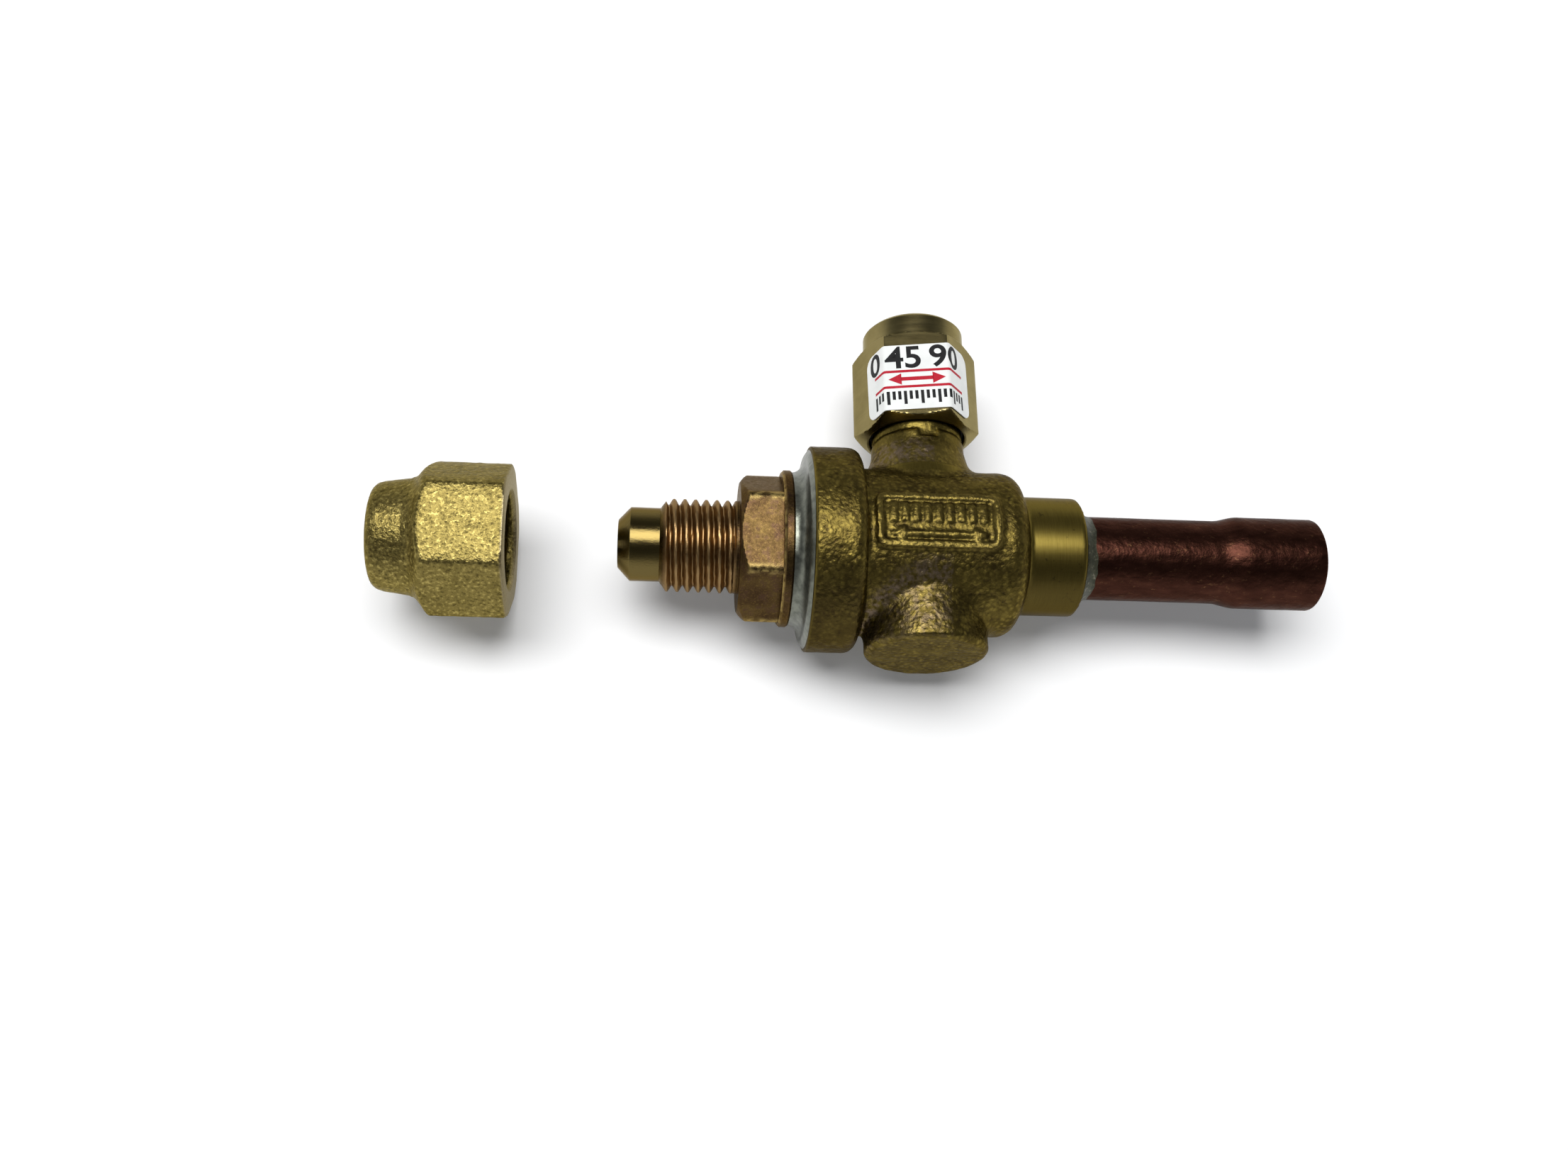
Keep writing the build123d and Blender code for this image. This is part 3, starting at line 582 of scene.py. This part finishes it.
def painted_shade_places(points):
    """Where painted shade darkens the skin: both sides of the ring, and the spigot's side towards the boss.
    """
    ring_end, spigot_start = -8.5, 11
    x, y, _ = points.T
    ring = rise(np.abs(y), 6.0, 10.0)
    spigot = rise(-y, 2.5, 6.0) * (x > ball_x + spigot_start)
    return np.where(x < ball_x + ring_end, ring, spigot)


def cast_body():
    """The forging: the CAD solid meshed evenly, roughened where it was left as cast."""
    voxel, weld = 0.26, 0.001
    swell_height, grain_height, sink = 0.05, 0.035, 0.06
    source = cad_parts["body"]
    obj = bpy.data.objects.new("cast_body", source.data.copy())
    bpy.context.scene.collection.objects.link(obj)
    bm = bmesh.new()
    bm.from_mesh(obj.data)
    bmesh.ops.remove_doubles(bm, verts=bm.verts, dist=weld * MM)
    bm.to_mesh(obj.data)
    bm.free()
    remesh = obj.modifiers.new("even", "REMESH")
    remesh.mode = "VOXEL"
    remesh.voxel_size = voxel * MM
    evaluated = obj.evaluated_get(bpy.context.evaluated_depsgraph_get())
    mesh = bpy.data.meshes.new_from_object(evaluated)
    bpy.data.objects.remove(obj)
    points, normals = vertex_points(mesh), vertex_normals(mesh)
    machined = turned_places(points)
    swell = rough(points, 3.2, 11) * swell_height + rough(points, 0.75, 17) * grain_height
    push = (swell - sink) * (1 - machined)
    put_points(mesh, points + normals * push[:, None])
    # painted shade on both sides of the ring and on the spigot's side towards the boss
    paint(mesh, "painted_shade", painted_shade_places(points))
    paint(mesh, "machined", machined)
    # worn gold, with a painted highlight on the neck's foot
    paint(mesh, "wear_and_highlight", wear_and_highlight_places(points, normals) * (1 - machined))
    paint(mesh, "flux", flux_places(points) * (1 - machined))
    mesh.shade_smooth()
    body = bpy.data.objects.new("cast_body", mesh)
    bpy.context.scene.collection.objects.link(body)
    return give(body, materials["cast_brass"], "valve", "cast_brass", "body")


def thread_profile(phase, depth, crest=0.2, root=0.12, round_depth=0.06):
    """Depth under the crest of a rounded V thread at each phase from 0 to 1."""
    across = np.abs(np.mod(phase, 1.0) - 0.5) * 2
    slope = np.clip((1 - across - crest) / (1 - crest - root), 0, 1)
    return depth * (slope - round_depth * np.sin(slope * math.pi) ** 2)


def adaptor():
    """The turned adaptor: flare nose, helical thread, hexagon, collar and plug."""
    count, thread_rings, chamfer_rings = 192, 16 * thread_turns, 9
    start_slope, chamfer_slope, chamfer_run, bore_cone = 1.35, 0.75, 1.2, 0.9
    tip_edge, pilot_edge, collar_edge, collar_back, seam = 0.12, 0.1, 0.3, 0.15, 0.05
    a = angles(count)
    pilot_left = flare_tip + pilot_r - tip_r
    thread_left = pilot_left + pilot_len + thread_runout
    thread_right = thread_left + thread_turns * thread_pitch
    thread_start = thread_left - thread_runout
    hex_left = thread_right + shoulder_len
    hex_right = hex_left + hex_len
    collar_right = hex_right + collar_len
    plug_end = rim_x + plug_len - seam
    rings = [(flare_tip, flare_bore_r + 0.2), (flare_tip, tip_r - tip_edge), (flare_tip + 0.1, tip_r)]
    rings += [(pilot_left - 0.08, pilot_r - pilot_edge), (pilot_left + 0.06, pilot_r)]
    rings += [(s, pilot_r) for s in steps(pilot_left + 0.4, thread_start, 6)]
    for s in steps(thread_start + seam, thread_right + thread_pitch * 0.45, thread_rings):
        cut = thread_profile((s - thread_left) / thread_pitch - a / TAU + 0.5, thread_depth)
        cut = cut * (1 - rise(s, thread_right - 0.1, thread_right + thread_pitch * 0.4))
        start = pilot_r + (s - thread_start) * start_slope
        rings.append((s, soft_min(thread_r - cut, start, 0.08)))
    rings += [(hex_left - seam, thread_r), (hex_left, thread_r + seam)]
    flats, corner_r = hexagon(a, hex_flats, hex_turn), corner(hex_flats)
    for s in steps(0, chamfer_run, chamfer_rings):
        edge = corner_r - hex_edge + s / chamfer_slope
        rings.append((hex_left + s, soft_min(flats, edge, 0.06)))
    rings += [(s, flats) for s in steps(hex_left + chamfer_run + 0.2, hex_right, 6)]
    rings += [(hex_right, collar_r - collar_edge), (hex_right + collar_edge, collar_r)]
    rings += [(collar_right - 0.2, collar_r), (collar_right, collar_r - collar_back)]
    rings += [(collar_right, plug_r), (plug_end, plug_r), (plug_end, seat_r), (plug_face, seat_r)]
    rings += [(plug_face, port_r), (hex_right, port_r)]
    rings += [(hex_right - bore_cone, flare_bore_r), (flare_tip + 0.2, flare_bore_r)]
    obj = turned("adaptor", flow_point, rings, count, True, grain=0.03, grain_size=0.8, seed=31, sharp=32)
    x, y, z = vertex_points(obj.data).T
    clean = 1 - rise(x, thread_start - 0.1, thread_left - 0.3)
    thread = rise(x, thread_left - 0.6, thread_left) * (1 - rise(x, thread_right, thread_right + 0.6))
    on_hexagon = (x > hex_left - 0.1) * (x < hex_right)
    paint(obj.data, "clean", clean)
    paint(obj.data, "thread", 0.8 * thread)
    paint(obj.data, "edge", on_hexagon * rise(np.hypot(y, z), corner_r - 0.5, corner_r - 0.15))
    return give(obj, materials["adaptor_brass"], "valve", "adaptor_brass", "flare_adaptor")


def nut():
    """The forged flare nut: hexagon, sloping shoulder and round nose, with a thread cut inside."""
    count, face_drop, face_slope, nose_round, groove = 192, 0.85, 1.75, 1.2, 0.55
    shoulder_in, shoulder_out = 2.3, 0.6
    a = angles(count)
    flats, corner_r = hexagon(a, nut_flats, nut_turn, 0.3), corner(nut_flats)
    hex_left = nut_mouth - nut_hex_len
    face_r = corner_r - face_drop
    rings = [(nut_mouth - 0.5, nut_bore_r), (nut_mouth, nut_bore_r + 0.5)]
    rings.append((nut_mouth, np.minimum(flats, face_r) - 0.1))
    for s in (0.06, 0.2, 0.35, 0.5, 0.7):
        rings.append((nut_mouth - s, soft_min(flats, face_r + s * face_slope, 0.1)))
    rings += [(s, flats) for s in steps(nut_mouth - 1.0, hex_left + shoulder_in + 0.3, 24)]
    for s in steps(hex_left + shoulder_in + 0.1, hex_left - shoulder_out, 14):
        slope = rise(s, hex_left - shoulder_out, hex_left + shoulder_in)
        envelope = nut_nose_r + (corner_r - nut_nose_r) * slope
        rings.append((s, soft_min(flats, envelope, 0.35)))
    for s in steps(hex_left - shoulder_out - 0.2, nut_end + nose_round + 0.1, 12):
        along = (s - nut_end) / (hex_left - nut_end)
        rings.append((s, nut_nose_end_r + (nut_nose_r - nut_nose_end_r) * along))
    for t in steps(0.1, 1.0, 7) * TAU / 4:
        nose_r = nut_nose_end_r + 0.1 - nose_round * (1 - math.cos(t))
        rings.append((nut_end + nose_round * (1 - math.sin(t)), nose_r))
    rings += [(nut_end, nut_hole_r + 0.2), (nut_end + 0.2, nut_hole_r)]
    cone_right = nut_mouth - nut_thread_len
    rings += [(cone_right - (nut_bore_r - nut_hole_r), nut_hole_r), (cone_right - 0.05, nut_bore_r)]
    for s in steps(cone_right, nut_mouth - 0.7, 80):
        cut = groove - thread_profile((s - nut_mouth) / thread_pitch - a / TAU, groove)
        fade = rise(s, cone_right, cone_right + 0.8) * (1 - rise(s, nut_mouth - 1.2, nut_mouth - 0.8))
        rings.append((s, nut_bore_r + cut * fade))
    obj = turned("nut", flow_point, rings, count, True, grain=0.09, grain_size=0.7, seed=47, sharp=35)
    x = vertex_points(obj.data)[:, 0]
    paint(obj.data, "face", rise(x, nut_mouth - 0.25, nut_mouth - 0.1))
    return give(obj, materials["nut_brass"], "nut", "nut_brass", "flare_nut")


def cap():
    """The hexagon cap with its round head, chamfered at both ends of the corners."""
    count, chamfer_rings, soft, head_edge = 180, 10, 0.05, 0.55
    a = angles(count)
    flats, corner_r = hexagon(a, cap_flats, -cap_turn, 0.08), corner(cap_flats)
    slope = math.tan(math.radians(cap_chamfer))
    head_low = cap_high + (corner_r - cap_head_r) * slope
    recess_top = cap_bottom + cap_recess_len
    rings = [(cap_top - cap_roof, cap_hollow_r - 0.02), (cap_thread_end, cap_hollow_r)]
    rings += [(cap_thread_end, cap_thread_r), (recess_top, cap_thread_r), (recess_top, cap_recess_r)]
    rings += [(cap_bottom + 0.1, cap_recess_r), (cap_bottom, cap_recess_r + 0.1)]
    rings.append((cap_bottom, cap_bottom_r - 0.05))
    for r in steps(cap_bottom_r, corner_r, chamfer_rings):
        rings.append((cap_bottom + (r - cap_bottom_r) * slope, soft_min(flats, r, soft)))
    rings += [(s, flats) for s in steps(cap_low + 0.4, cap_high - 0.4, 8)]
    for r in steps(corner_r, cap_head_r, chamfer_rings):
        rings.append((cap_high + (corner_r - r) * slope, soft_min(flats, r, soft)))
    rings += [(head_low + 0.05, cap_head_r), (cap_top - head_edge, cap_head_r)]
    rings += [(cap_top - head_edge + 0.1, cap_head_r - 0.05)]
    rings += [(cap_top - 0.06, cap_head_r - head_edge + 0.1), (cap_top, cap_head_r - head_edge)]
    obj = turned("cap_shell", stem_point, rings, count, False, sharp=24)
    return give(obj, materials["cap_brass"], "cap", "turned_brass", "cap")


def copper():
    """The copper stub, swaged out at its mouth."""
    count, blend, lip = 96, 0.7, 0.12
    outer, swage = stub_bore_r + tube_wall, socket_r + tube_wall
    socket_start = -socket_len
    swage_start = socket_start - swage_len
    low, high = swage_start - blend, socket_start + blend
    rings = [(stub_end, stub_bore_r), (stub_end, outer - 0.05)]
    rings += [(s, outer) for s in steps(spigot_end, low - 0.1, 10)]
    rings += [(s, outer + (swage - outer) * rise(s, low, high)) for s in steps(low, high, 22)]
    rings += [(s, swage) for s in steps(high + 0.3, -0.3, 8)]
    rings += [(-lip, swage - 0.06), (0, swage - 0.22), (0, socket_r + 0.1), (-lip, socket_r)]
    rings += [(socket_start, socket_r), (swage_start, stub_bore_r)]
    obj = turned("copper", flow_point, rings, count, True, grain=0.04, grain_size=2.5, seed=61)
    return give(obj, materials["stub_copper"], "valve", "stub_copper", "copper_stub")


def braze():
    """The braze fillet, with an uneven edge on the copper."""
    count, bite, hollow = 144, 0.02, 1.8
    a = angles(count)
    circle = flow_point(0, np.full(count, 5.0), a)
    reach = 1.6 + 0.35 * rough(circle, 2.2, 71)
    height = 1.15 + 0.12 * rough(circle, 1.5, 73)
    outer = stub_bore_r + tube_wall + bite / 2
    rings = [(spigot_end + reach * t, outer + height * (1 - t) ** hollow) for t in steps(0, 1, 10)]
    rings += [(spigot_end + reach * 0.5, outer - bite), (spigot_end - bite, outer - bite)]
    obj = turned("braze", flow_point, rings, count, True, sharp=60)
    return give(obj, materials["braze_metal"], "valve", "braze_alloy", "braze_ring")


def seal():
    """The soft-metal bead run in between the collar and the body's rim."""
    count, lip, hollow = 160, 0.5, 1.6
    crown_r, foot_r, inner_r = ring_r - 0.45, collar_r - 0.2, plug_r + 0.05
    lip_x, lip_r = rim_x - lip, ring_r - 1.35
    rings = [(bead_left, inner_r), (bead_left, foot_r)]
    for t in steps(0.1, 1.0, 12) * TAU / 4:
        s = bead_left + (lip_x - bead_left) * math.sin(t)
        rings.append((s, foot_r + (lip_r - foot_r) * (1 - math.cos(t))))
    for t in steps(0.2, 1.0, 5):
        rings.append((lip_x + (rim_x - lip_x) * t**hollow, lip_r + (crown_r - lip_r) * t))
    rings.append((rim_x, inner_r))
    obj = turned("seal", flow_point, rings, count, True, grain=0.12, grain_size=1.3, seed=83, sharp=70)
    return give(obj, materials["seal_metal"], "valve", "soft_metal", "seal_bead")


# ---- Label, folded over three flats --------------------------------------------------
def bend_path():
    """Distance across and depth reached by paper that bends softly over a corner of the hexagon."""
    run = np.linspace(0, label_width, 801)
    turn = rise(run, fold_at - fold_soft, fold_at + fold_soft) * TAU / 6
    step = run[1] - run[0]
    across = np.concatenate(([0], np.cumsum(np.cos(turn[:-1]) * step)))
    down = np.concatenate(([0], np.cumsum(np.sin(turn[:-1]) * step)))
    return run, across, down, turn


def on_label(u, v, lift):
    """Points of the flat label, u along it and v up it, folded round the cap."""
    tilt, turn = math.radians(label_tilt), math.radians(cap_turn)
    along = u * math.cos(tilt) - v * math.sin(tilt) + label_shift
    up = u * math.sin(tilt) + v * math.cos(tilt) + label_middle
    run, across, down, angle = bend_path()
    reach = np.abs(along)
    lean = np.interp(reach, run, angle)
    flat_x = np.sign(along) * (np.interp(reach, run, across) + lift * np.sin(lean))
    flat_z = cap_flats / 2 - np.interp(reach, run, down) + lift * np.cos(lean)
    x = ball_x + flat_x * math.cos(turn) + flat_z * math.sin(turn)
    return np.stack([x, up, flat_z * math.cos(turn) - flat_x * math.sin(turn)], -1)


def folded(name, outlines, low, high):
    """Thin flat shapes given in label places, raised to a thickness and folded round the cap."""
    bm = bmesh.new()
    for outline in outlines:
        bm.faces.new([bm.verts.new((u, v, 0)) for u, v in outline])
    return fold_mesh(name, bm, low, high)


def fold_mesh(name, bm, low, high):
    """Cuts a flat mesh where the paper bends, gives it a thickness and folds it round the cap."""
    tilt = math.radians(label_tilt)
    normal = Vector((math.cos(tilt), -math.sin(tilt), 0))
    for side in (-1, 1):
        for off in np.linspace(-fold_soft, fold_soft, 7):
            place = normal * (side * (fold_at + off) - label_shift)
            everything = bm.verts[:] + bm.edges[:] + bm.faces[:]
            bmesh.ops.bisect_plane(bm, geom=everything, dist=1e-5, plane_co=place, plane_no=normal)
    bmesh.ops.triangulate(bm, faces=bm.faces[:])
    raised = bmesh.ops.extrude_face_region(bm, geom=bm.faces[:])
    for v in raised["geom"]:
        if isinstance(v, bmesh.types.BMVert):
            v.co.z = 1
    bm.verts.ensure_lookup_table()
    flat = np.array([v.co[:] for v in bm.verts])
    points = on_label(flat[:, 0], flat[:, 1], np.where(flat[:, 2] > 0.5, high, low))
    faces = [[v.index for v in f.verts] for f in bm.faces]
    bm.free()
    return mesh_object(name, points, faces, 30)


def rounded_box(half_u, half_v, radius):
    """Outline of a rectangle with rounded corners, about the middle of the label."""
    corners = ((1, 1, 0), (-1, 1, 1), (-1, -1, 2), (1, -1, 3))
    flat_u, flat_v = half_u - radius, half_v - radius
    return [
        (side_u * flat_u + radius * math.cos(a), side_v * flat_v + radius * math.sin(a))
        for side_u, side_v, quarter in corners
        for a in (quarter + steps(0, 1, 9)) * TAU / 4
    ]


def bar(u0, v0, u1, v1, width):
    """Outline of a straight stroke."""
    du, dv = u1 - u0, v1 - v0
    size = math.hypot(du, dv)
    nu, nv = -dv / size * width / 2, du / size * width / 2
    return [(u0 + nu, v0 + nv), (u0 - nu, v0 - nv), (u1 - nu, v1 - nv), (u1 + nu, v1 + nv)]


def figures(marks, size, v, stretch):
    """A mesh of plain numbers in label places, each centred at its own place along the label."""
    heavier, weld = 0.018, 1e-4
    bm = bmesh.new()
    for text, u in marks:
        curve = bpy.data.curves.new("figures", "FONT")
        curve.body = text
        curve.size = size
        curve.align_x = "CENTER"
        curve.align_y = "CENTER"
        curve.offset = heavier * size
        obj = bpy.data.objects.new("figures", curve)
        mesh = bpy.data.meshes.new_from_object(obj)
        mesh.transform(Matrix.Translation((u, v, 0)) @ Matrix.Diagonal((stretch, 1, 1, 1)))
        bm.from_mesh(mesh)
        bpy.data.objects.remove(obj)
    bmesh.ops.remove_doubles(bm, verts=bm.verts, dist=weld)
    return bm


def label_sheet():
    """The white label itself."""
    corner_r = 1.4
    paper = folded("label_sheet", [rounded_box(label_width / 2, label_len / 2, corner_r)], 0, paper_high)
    return give(paper, materials["label_paper"], "cap", "white_label", "cap_label")


def label_figures():
    """The angles in degrees, along the top of the label."""
    marks = (("0", -6.2), ("45", -1.95), ("90", 3.4))
    size, v, stretch = 4.2, 2.55, 1.08
    numbers = fold_mesh("label_figures", figures(marks, size, v, stretch), ink_low, ink_high)
    return give(numbers, materials["ink_black"], "cap", "white_label")


def label_rules():
    """Two red rules with a double arrow between them."""
    rule_width, upper, lower = 0.34, 0.78, -1.36
    arrow_v, arrow_reach, shaft_width, head_len, head_half = -0.29, 3.5, 0.5, 1.6, 0.78
    red = [bar(-print_reach, v, print_reach, v, rule_width) for v in (upper, lower)]
    shaft = arrow_reach - head_len + 0.1
    red.append(bar(-label_shift - shaft, arrow_v, -label_shift + shaft, arrow_v, shaft_width))
    for side in (-1, 1):
        tip, foot = side * arrow_reach - label_shift, side * (arrow_reach - head_len) - label_shift
        red.append([(tip, arrow_v), (foot, arrow_v + side * head_half), (foot, arrow_v - side * head_half)])
    lines = folded("label_rules", red, ink_low, ink_high)
    return give(lines, materials["ink_red"], "cap", "white_label")


def label_scale():
    """The scale along the bottom of the label, every third tick a long one."""
    count, width, top, long_end, short_end = 19, 0.38, -1.95, -3.75, -3.1
    reach = print_reach - 0.2
    ends = [long_end if k % 3 == 0 else short_end for k in range(count)]
    ticks = [bar(u, top, u, end, width) for u, end in zip(steps(-reach, reach, count), ends)]
    scale = folded("label_scale", ticks, ink_low, ink_high)
    return give(scale, materials["ink_black"], "cap", "white_label")


materials = {
    "cast_brass": cast_brass(),
    "adaptor_brass": adaptor_brass(),
    "nut_brass": nut_brass(),
    "cap_brass": cap_brass(),
    "seal_metal": seal_metal(),
    "stub_copper": stub_copper(),
    "braze_metal": braze_metal(),
    "ball_chrome": steel("ball_chrome", (0.75, 0.76, 0.78), 0.15),
    "stem_steel": steel("stem_steel", (0.6, 0.6, 0.6), 0.32),
    "spring_steel": steel("spring_steel", (0.25, 0.25, 0.26), 0.38),
    "ring_rubber": rubber(),
    "seat_plastic": seat_plastic(),
    "label_paper": label_paper(),
    "ink_black": print_ink("ink_black", (0.012, 0.012, 0.013)),
    "ink_red": print_ink("ink_red", (0.5, 0.012, 0.03)),
}
cad_finish = {
    "ball": "ball_chrome",
    "stem": "stem_steel",
    "stop_plate": "stem_steel",
    "circlip": "spring_steel",
    "seat_flare_side": "seat_plastic",
    "seat_tube_side": "seat_plastic",
    "thrust_washer": "seat_plastic",
    "seat_ring_flare_side": "ring_rubber",
    "seat_ring_tube_side": "ring_rubber",
    "adaptor_ring": "ring_rubber",
    "stem_ring_lower": "ring_rubber",
    "stem_ring_upper": "ring_rubber",
    "cap_gasket": "ring_rubber",
}
for node, finish in cad_finish.items():
    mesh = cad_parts[node].data
    mesh.materials.clear()
    mesh.materials.append(materials[finish])

cast_body()
adaptor()
nut()
cap()
copper()
braze()
seal()
label_sheet()
label_figures()
label_rules()
label_scale()


# ---- Floor, light and camera -----------------------------------------------------------
def seen_directly(tree):
    """One where a ray comes from the camera, from a glossy surface or through a clear one."""
    path = tree.nodes.new("ShaderNodeLightPath")
    total = path.outputs["Is Camera Ray"]
    for name in ("Is Glossy Ray", "Is Transmission Ray"):
        add = tree.nodes.new("ShaderNodeMath")
        add.operation = "MAXIMUM"
        tree.links.new(total, add.inputs[0])
        tree.links.new(path.outputs[name], add.inputs[1])
        total = add.outputs[0]
    return total


def stage():
    """A white table, held at white by a little glow that lights nothing else."""
    half, sides, near, far, glow_share = 1500, 48, 150, 450, 0.07
    pale, below = 0.95, 0.02
    z = floor_z - below
    rim = [(half * math.cos(k) + ball_x, half * math.sin(k), z) for k in angles(sides)]
    table = mesh_object("table", rim, [tuple(range(sides))])
    material = bpy.data.materials.new("table_white")
    material.use_nodes = True
    tree = material.node_tree
    tree.nodes.clear()
    coords = tree.nodes.new("ShaderNodeTexCoord")
    away = tree.nodes.new("ShaderNodeVectorMath")
    away.operation = "LENGTH"
    grow = tree.nodes.new("ShaderNodeMapRange")
    grow.inputs["From Min"].default_value = near * MM
    grow.inputs["From Max"].default_value = far * MM
    grow.inputs["To Min"].default_value = glow_share
    share = tree.nodes.new("ShaderNodeMath")
    share.operation = "MULTIPLY"
    tree.links.new(coords.outputs["Object"], away.inputs[0])
    tree.links.new(away.outputs["Value"], grow.inputs["Value"])
    tree.links.new(grow.outputs["Result"], share.inputs[1])
    tree.links.new(seen_directly(tree), share.inputs[0])
    plain = tree.nodes.new("ShaderNodeBsdfDiffuse")
    plain.inputs["Color"].default_value = (pale, pale, pale, 1)
    glow = tree.nodes.new("ShaderNodeEmission")
    glow.inputs["Color"].default_value = (1, 1, 1, 1)
    glow.inputs["Strength"].default_value = 1.0
    mix = tree.nodes.new("ShaderNodeMixShader")
    output = tree.nodes.new("ShaderNodeOutputMaterial")
    tree.links.new(share.outputs[0], mix.inputs[0])
    tree.links.new(plain.outputs[0], mix.inputs[1])
    tree.links.new(glow.outputs[0], mix.inputs[2])
    tree.links.new(mix.outputs[0], output.inputs[0])
    table.data.materials.append(material)


def lights():
    """A dim room with a pale horizon, and one wide soft lamp overhead."""
    horizon, middle, above = (0.96, 0.965, 0.97, 1), (0.24, 0.25, 0.26, 1), (0.085, 0.09, 0.1, 1)
    lamp_width, lamp_depth, lamp_power, lamp_distance, lamp_shift = 1000, 560, 11.6, 1000, -17
    world = bpy.data.worlds.new("room")
    bpy.context.scene.world = world
    world.use_nodes = True
    tree = world.node_tree
    tree.nodes.clear()
    coords = tree.nodes.new("ShaderNodeTexCoord")
    parts = tree.nodes.new("ShaderNodeSeparateXYZ")
    height = tree.nodes.new("ShaderNodeValToRGB")
    stops = height.color_ramp.elements
    stops[0].position, stops[0].color = 0.08, horizon
    stops[1].position, stops[1].color = 0.7, above
    stops.new(0.4).color = middle
    room = tree.nodes.new("ShaderNodeBackground")
    output = tree.nodes.new("ShaderNodeOutputWorld")
    tree.links.new(coords.outputs["Generated"], parts.inputs[0])
    tree.links.new(parts.outputs["Z"], height.inputs["Fac"])
    tree.links.new(height.outputs["Color"], room.inputs["Color"])
    tree.links.new(room.outputs[0], output.inputs[0])
    lamp = bpy.data.lights.new("lamp_over", "AREA")
    lamp.shape = "ELLIPSE"
    lamp.size = lamp_width * MM
    lamp.size_y = lamp_depth * MM
    lamp.energy = lamp_power
    obj = bpy.data.objects.new("lamp_over", lamp)
    bpy.context.scene.collection.objects.link(obj)
    way = Vector((-0.15, 0.1, 1.0)).normalized()
    deep = way.cross(Vector((1, 0, 0))).normalized()
    turn = Matrix((deep.cross(way), deep, way)).transposed()
    place = Vector((ball_x + lamp_shift, 0, 0)) * MM + way * (lamp_distance * MM)
    obj.matrix_world = Matrix.Translation(place) @ turn.to_4x4()


def camera():
    """The view from above the cast plate, tilted towards the boss."""
    tilt, swing, roll = (math.radians(d) for d in (21.3, 5.21, 0.22))
    aim_shift, aim_y, distance, nearest = -16.69, -5.04, 160.85, 5
    sensor, lens = 36, 31.15
    tip, swung = Matrix.Rotation(-tilt, 3, "X"), Matrix.Rotation(swing, 3, "Y")
    axes = (Matrix.Rotation(roll, 3, "Z") @ tip @ swung).transposed()
    data = bpy.data.cameras.new("camera")
    data.sensor_width = sensor
    data.lens = lens
    data.clip_start = nearest * MM
    obj = bpy.data.objects.new("camera", data)
    bpy.context.scene.collection.objects.link(obj)
    aim, away = Vector((ball_x + aim_shift, aim_y, 0)) * MM, Vector((0, 0, distance * MM))
    obj.matrix_world = Matrix.Translation(aim + axes @ away) @ axes.to_4x4()
    bpy.context.scene.camera = obj


stage()
lights()
camera()
bpy.context.scene.view_settings.view_transform = "Standard"

bpy.context.view_layer.update()
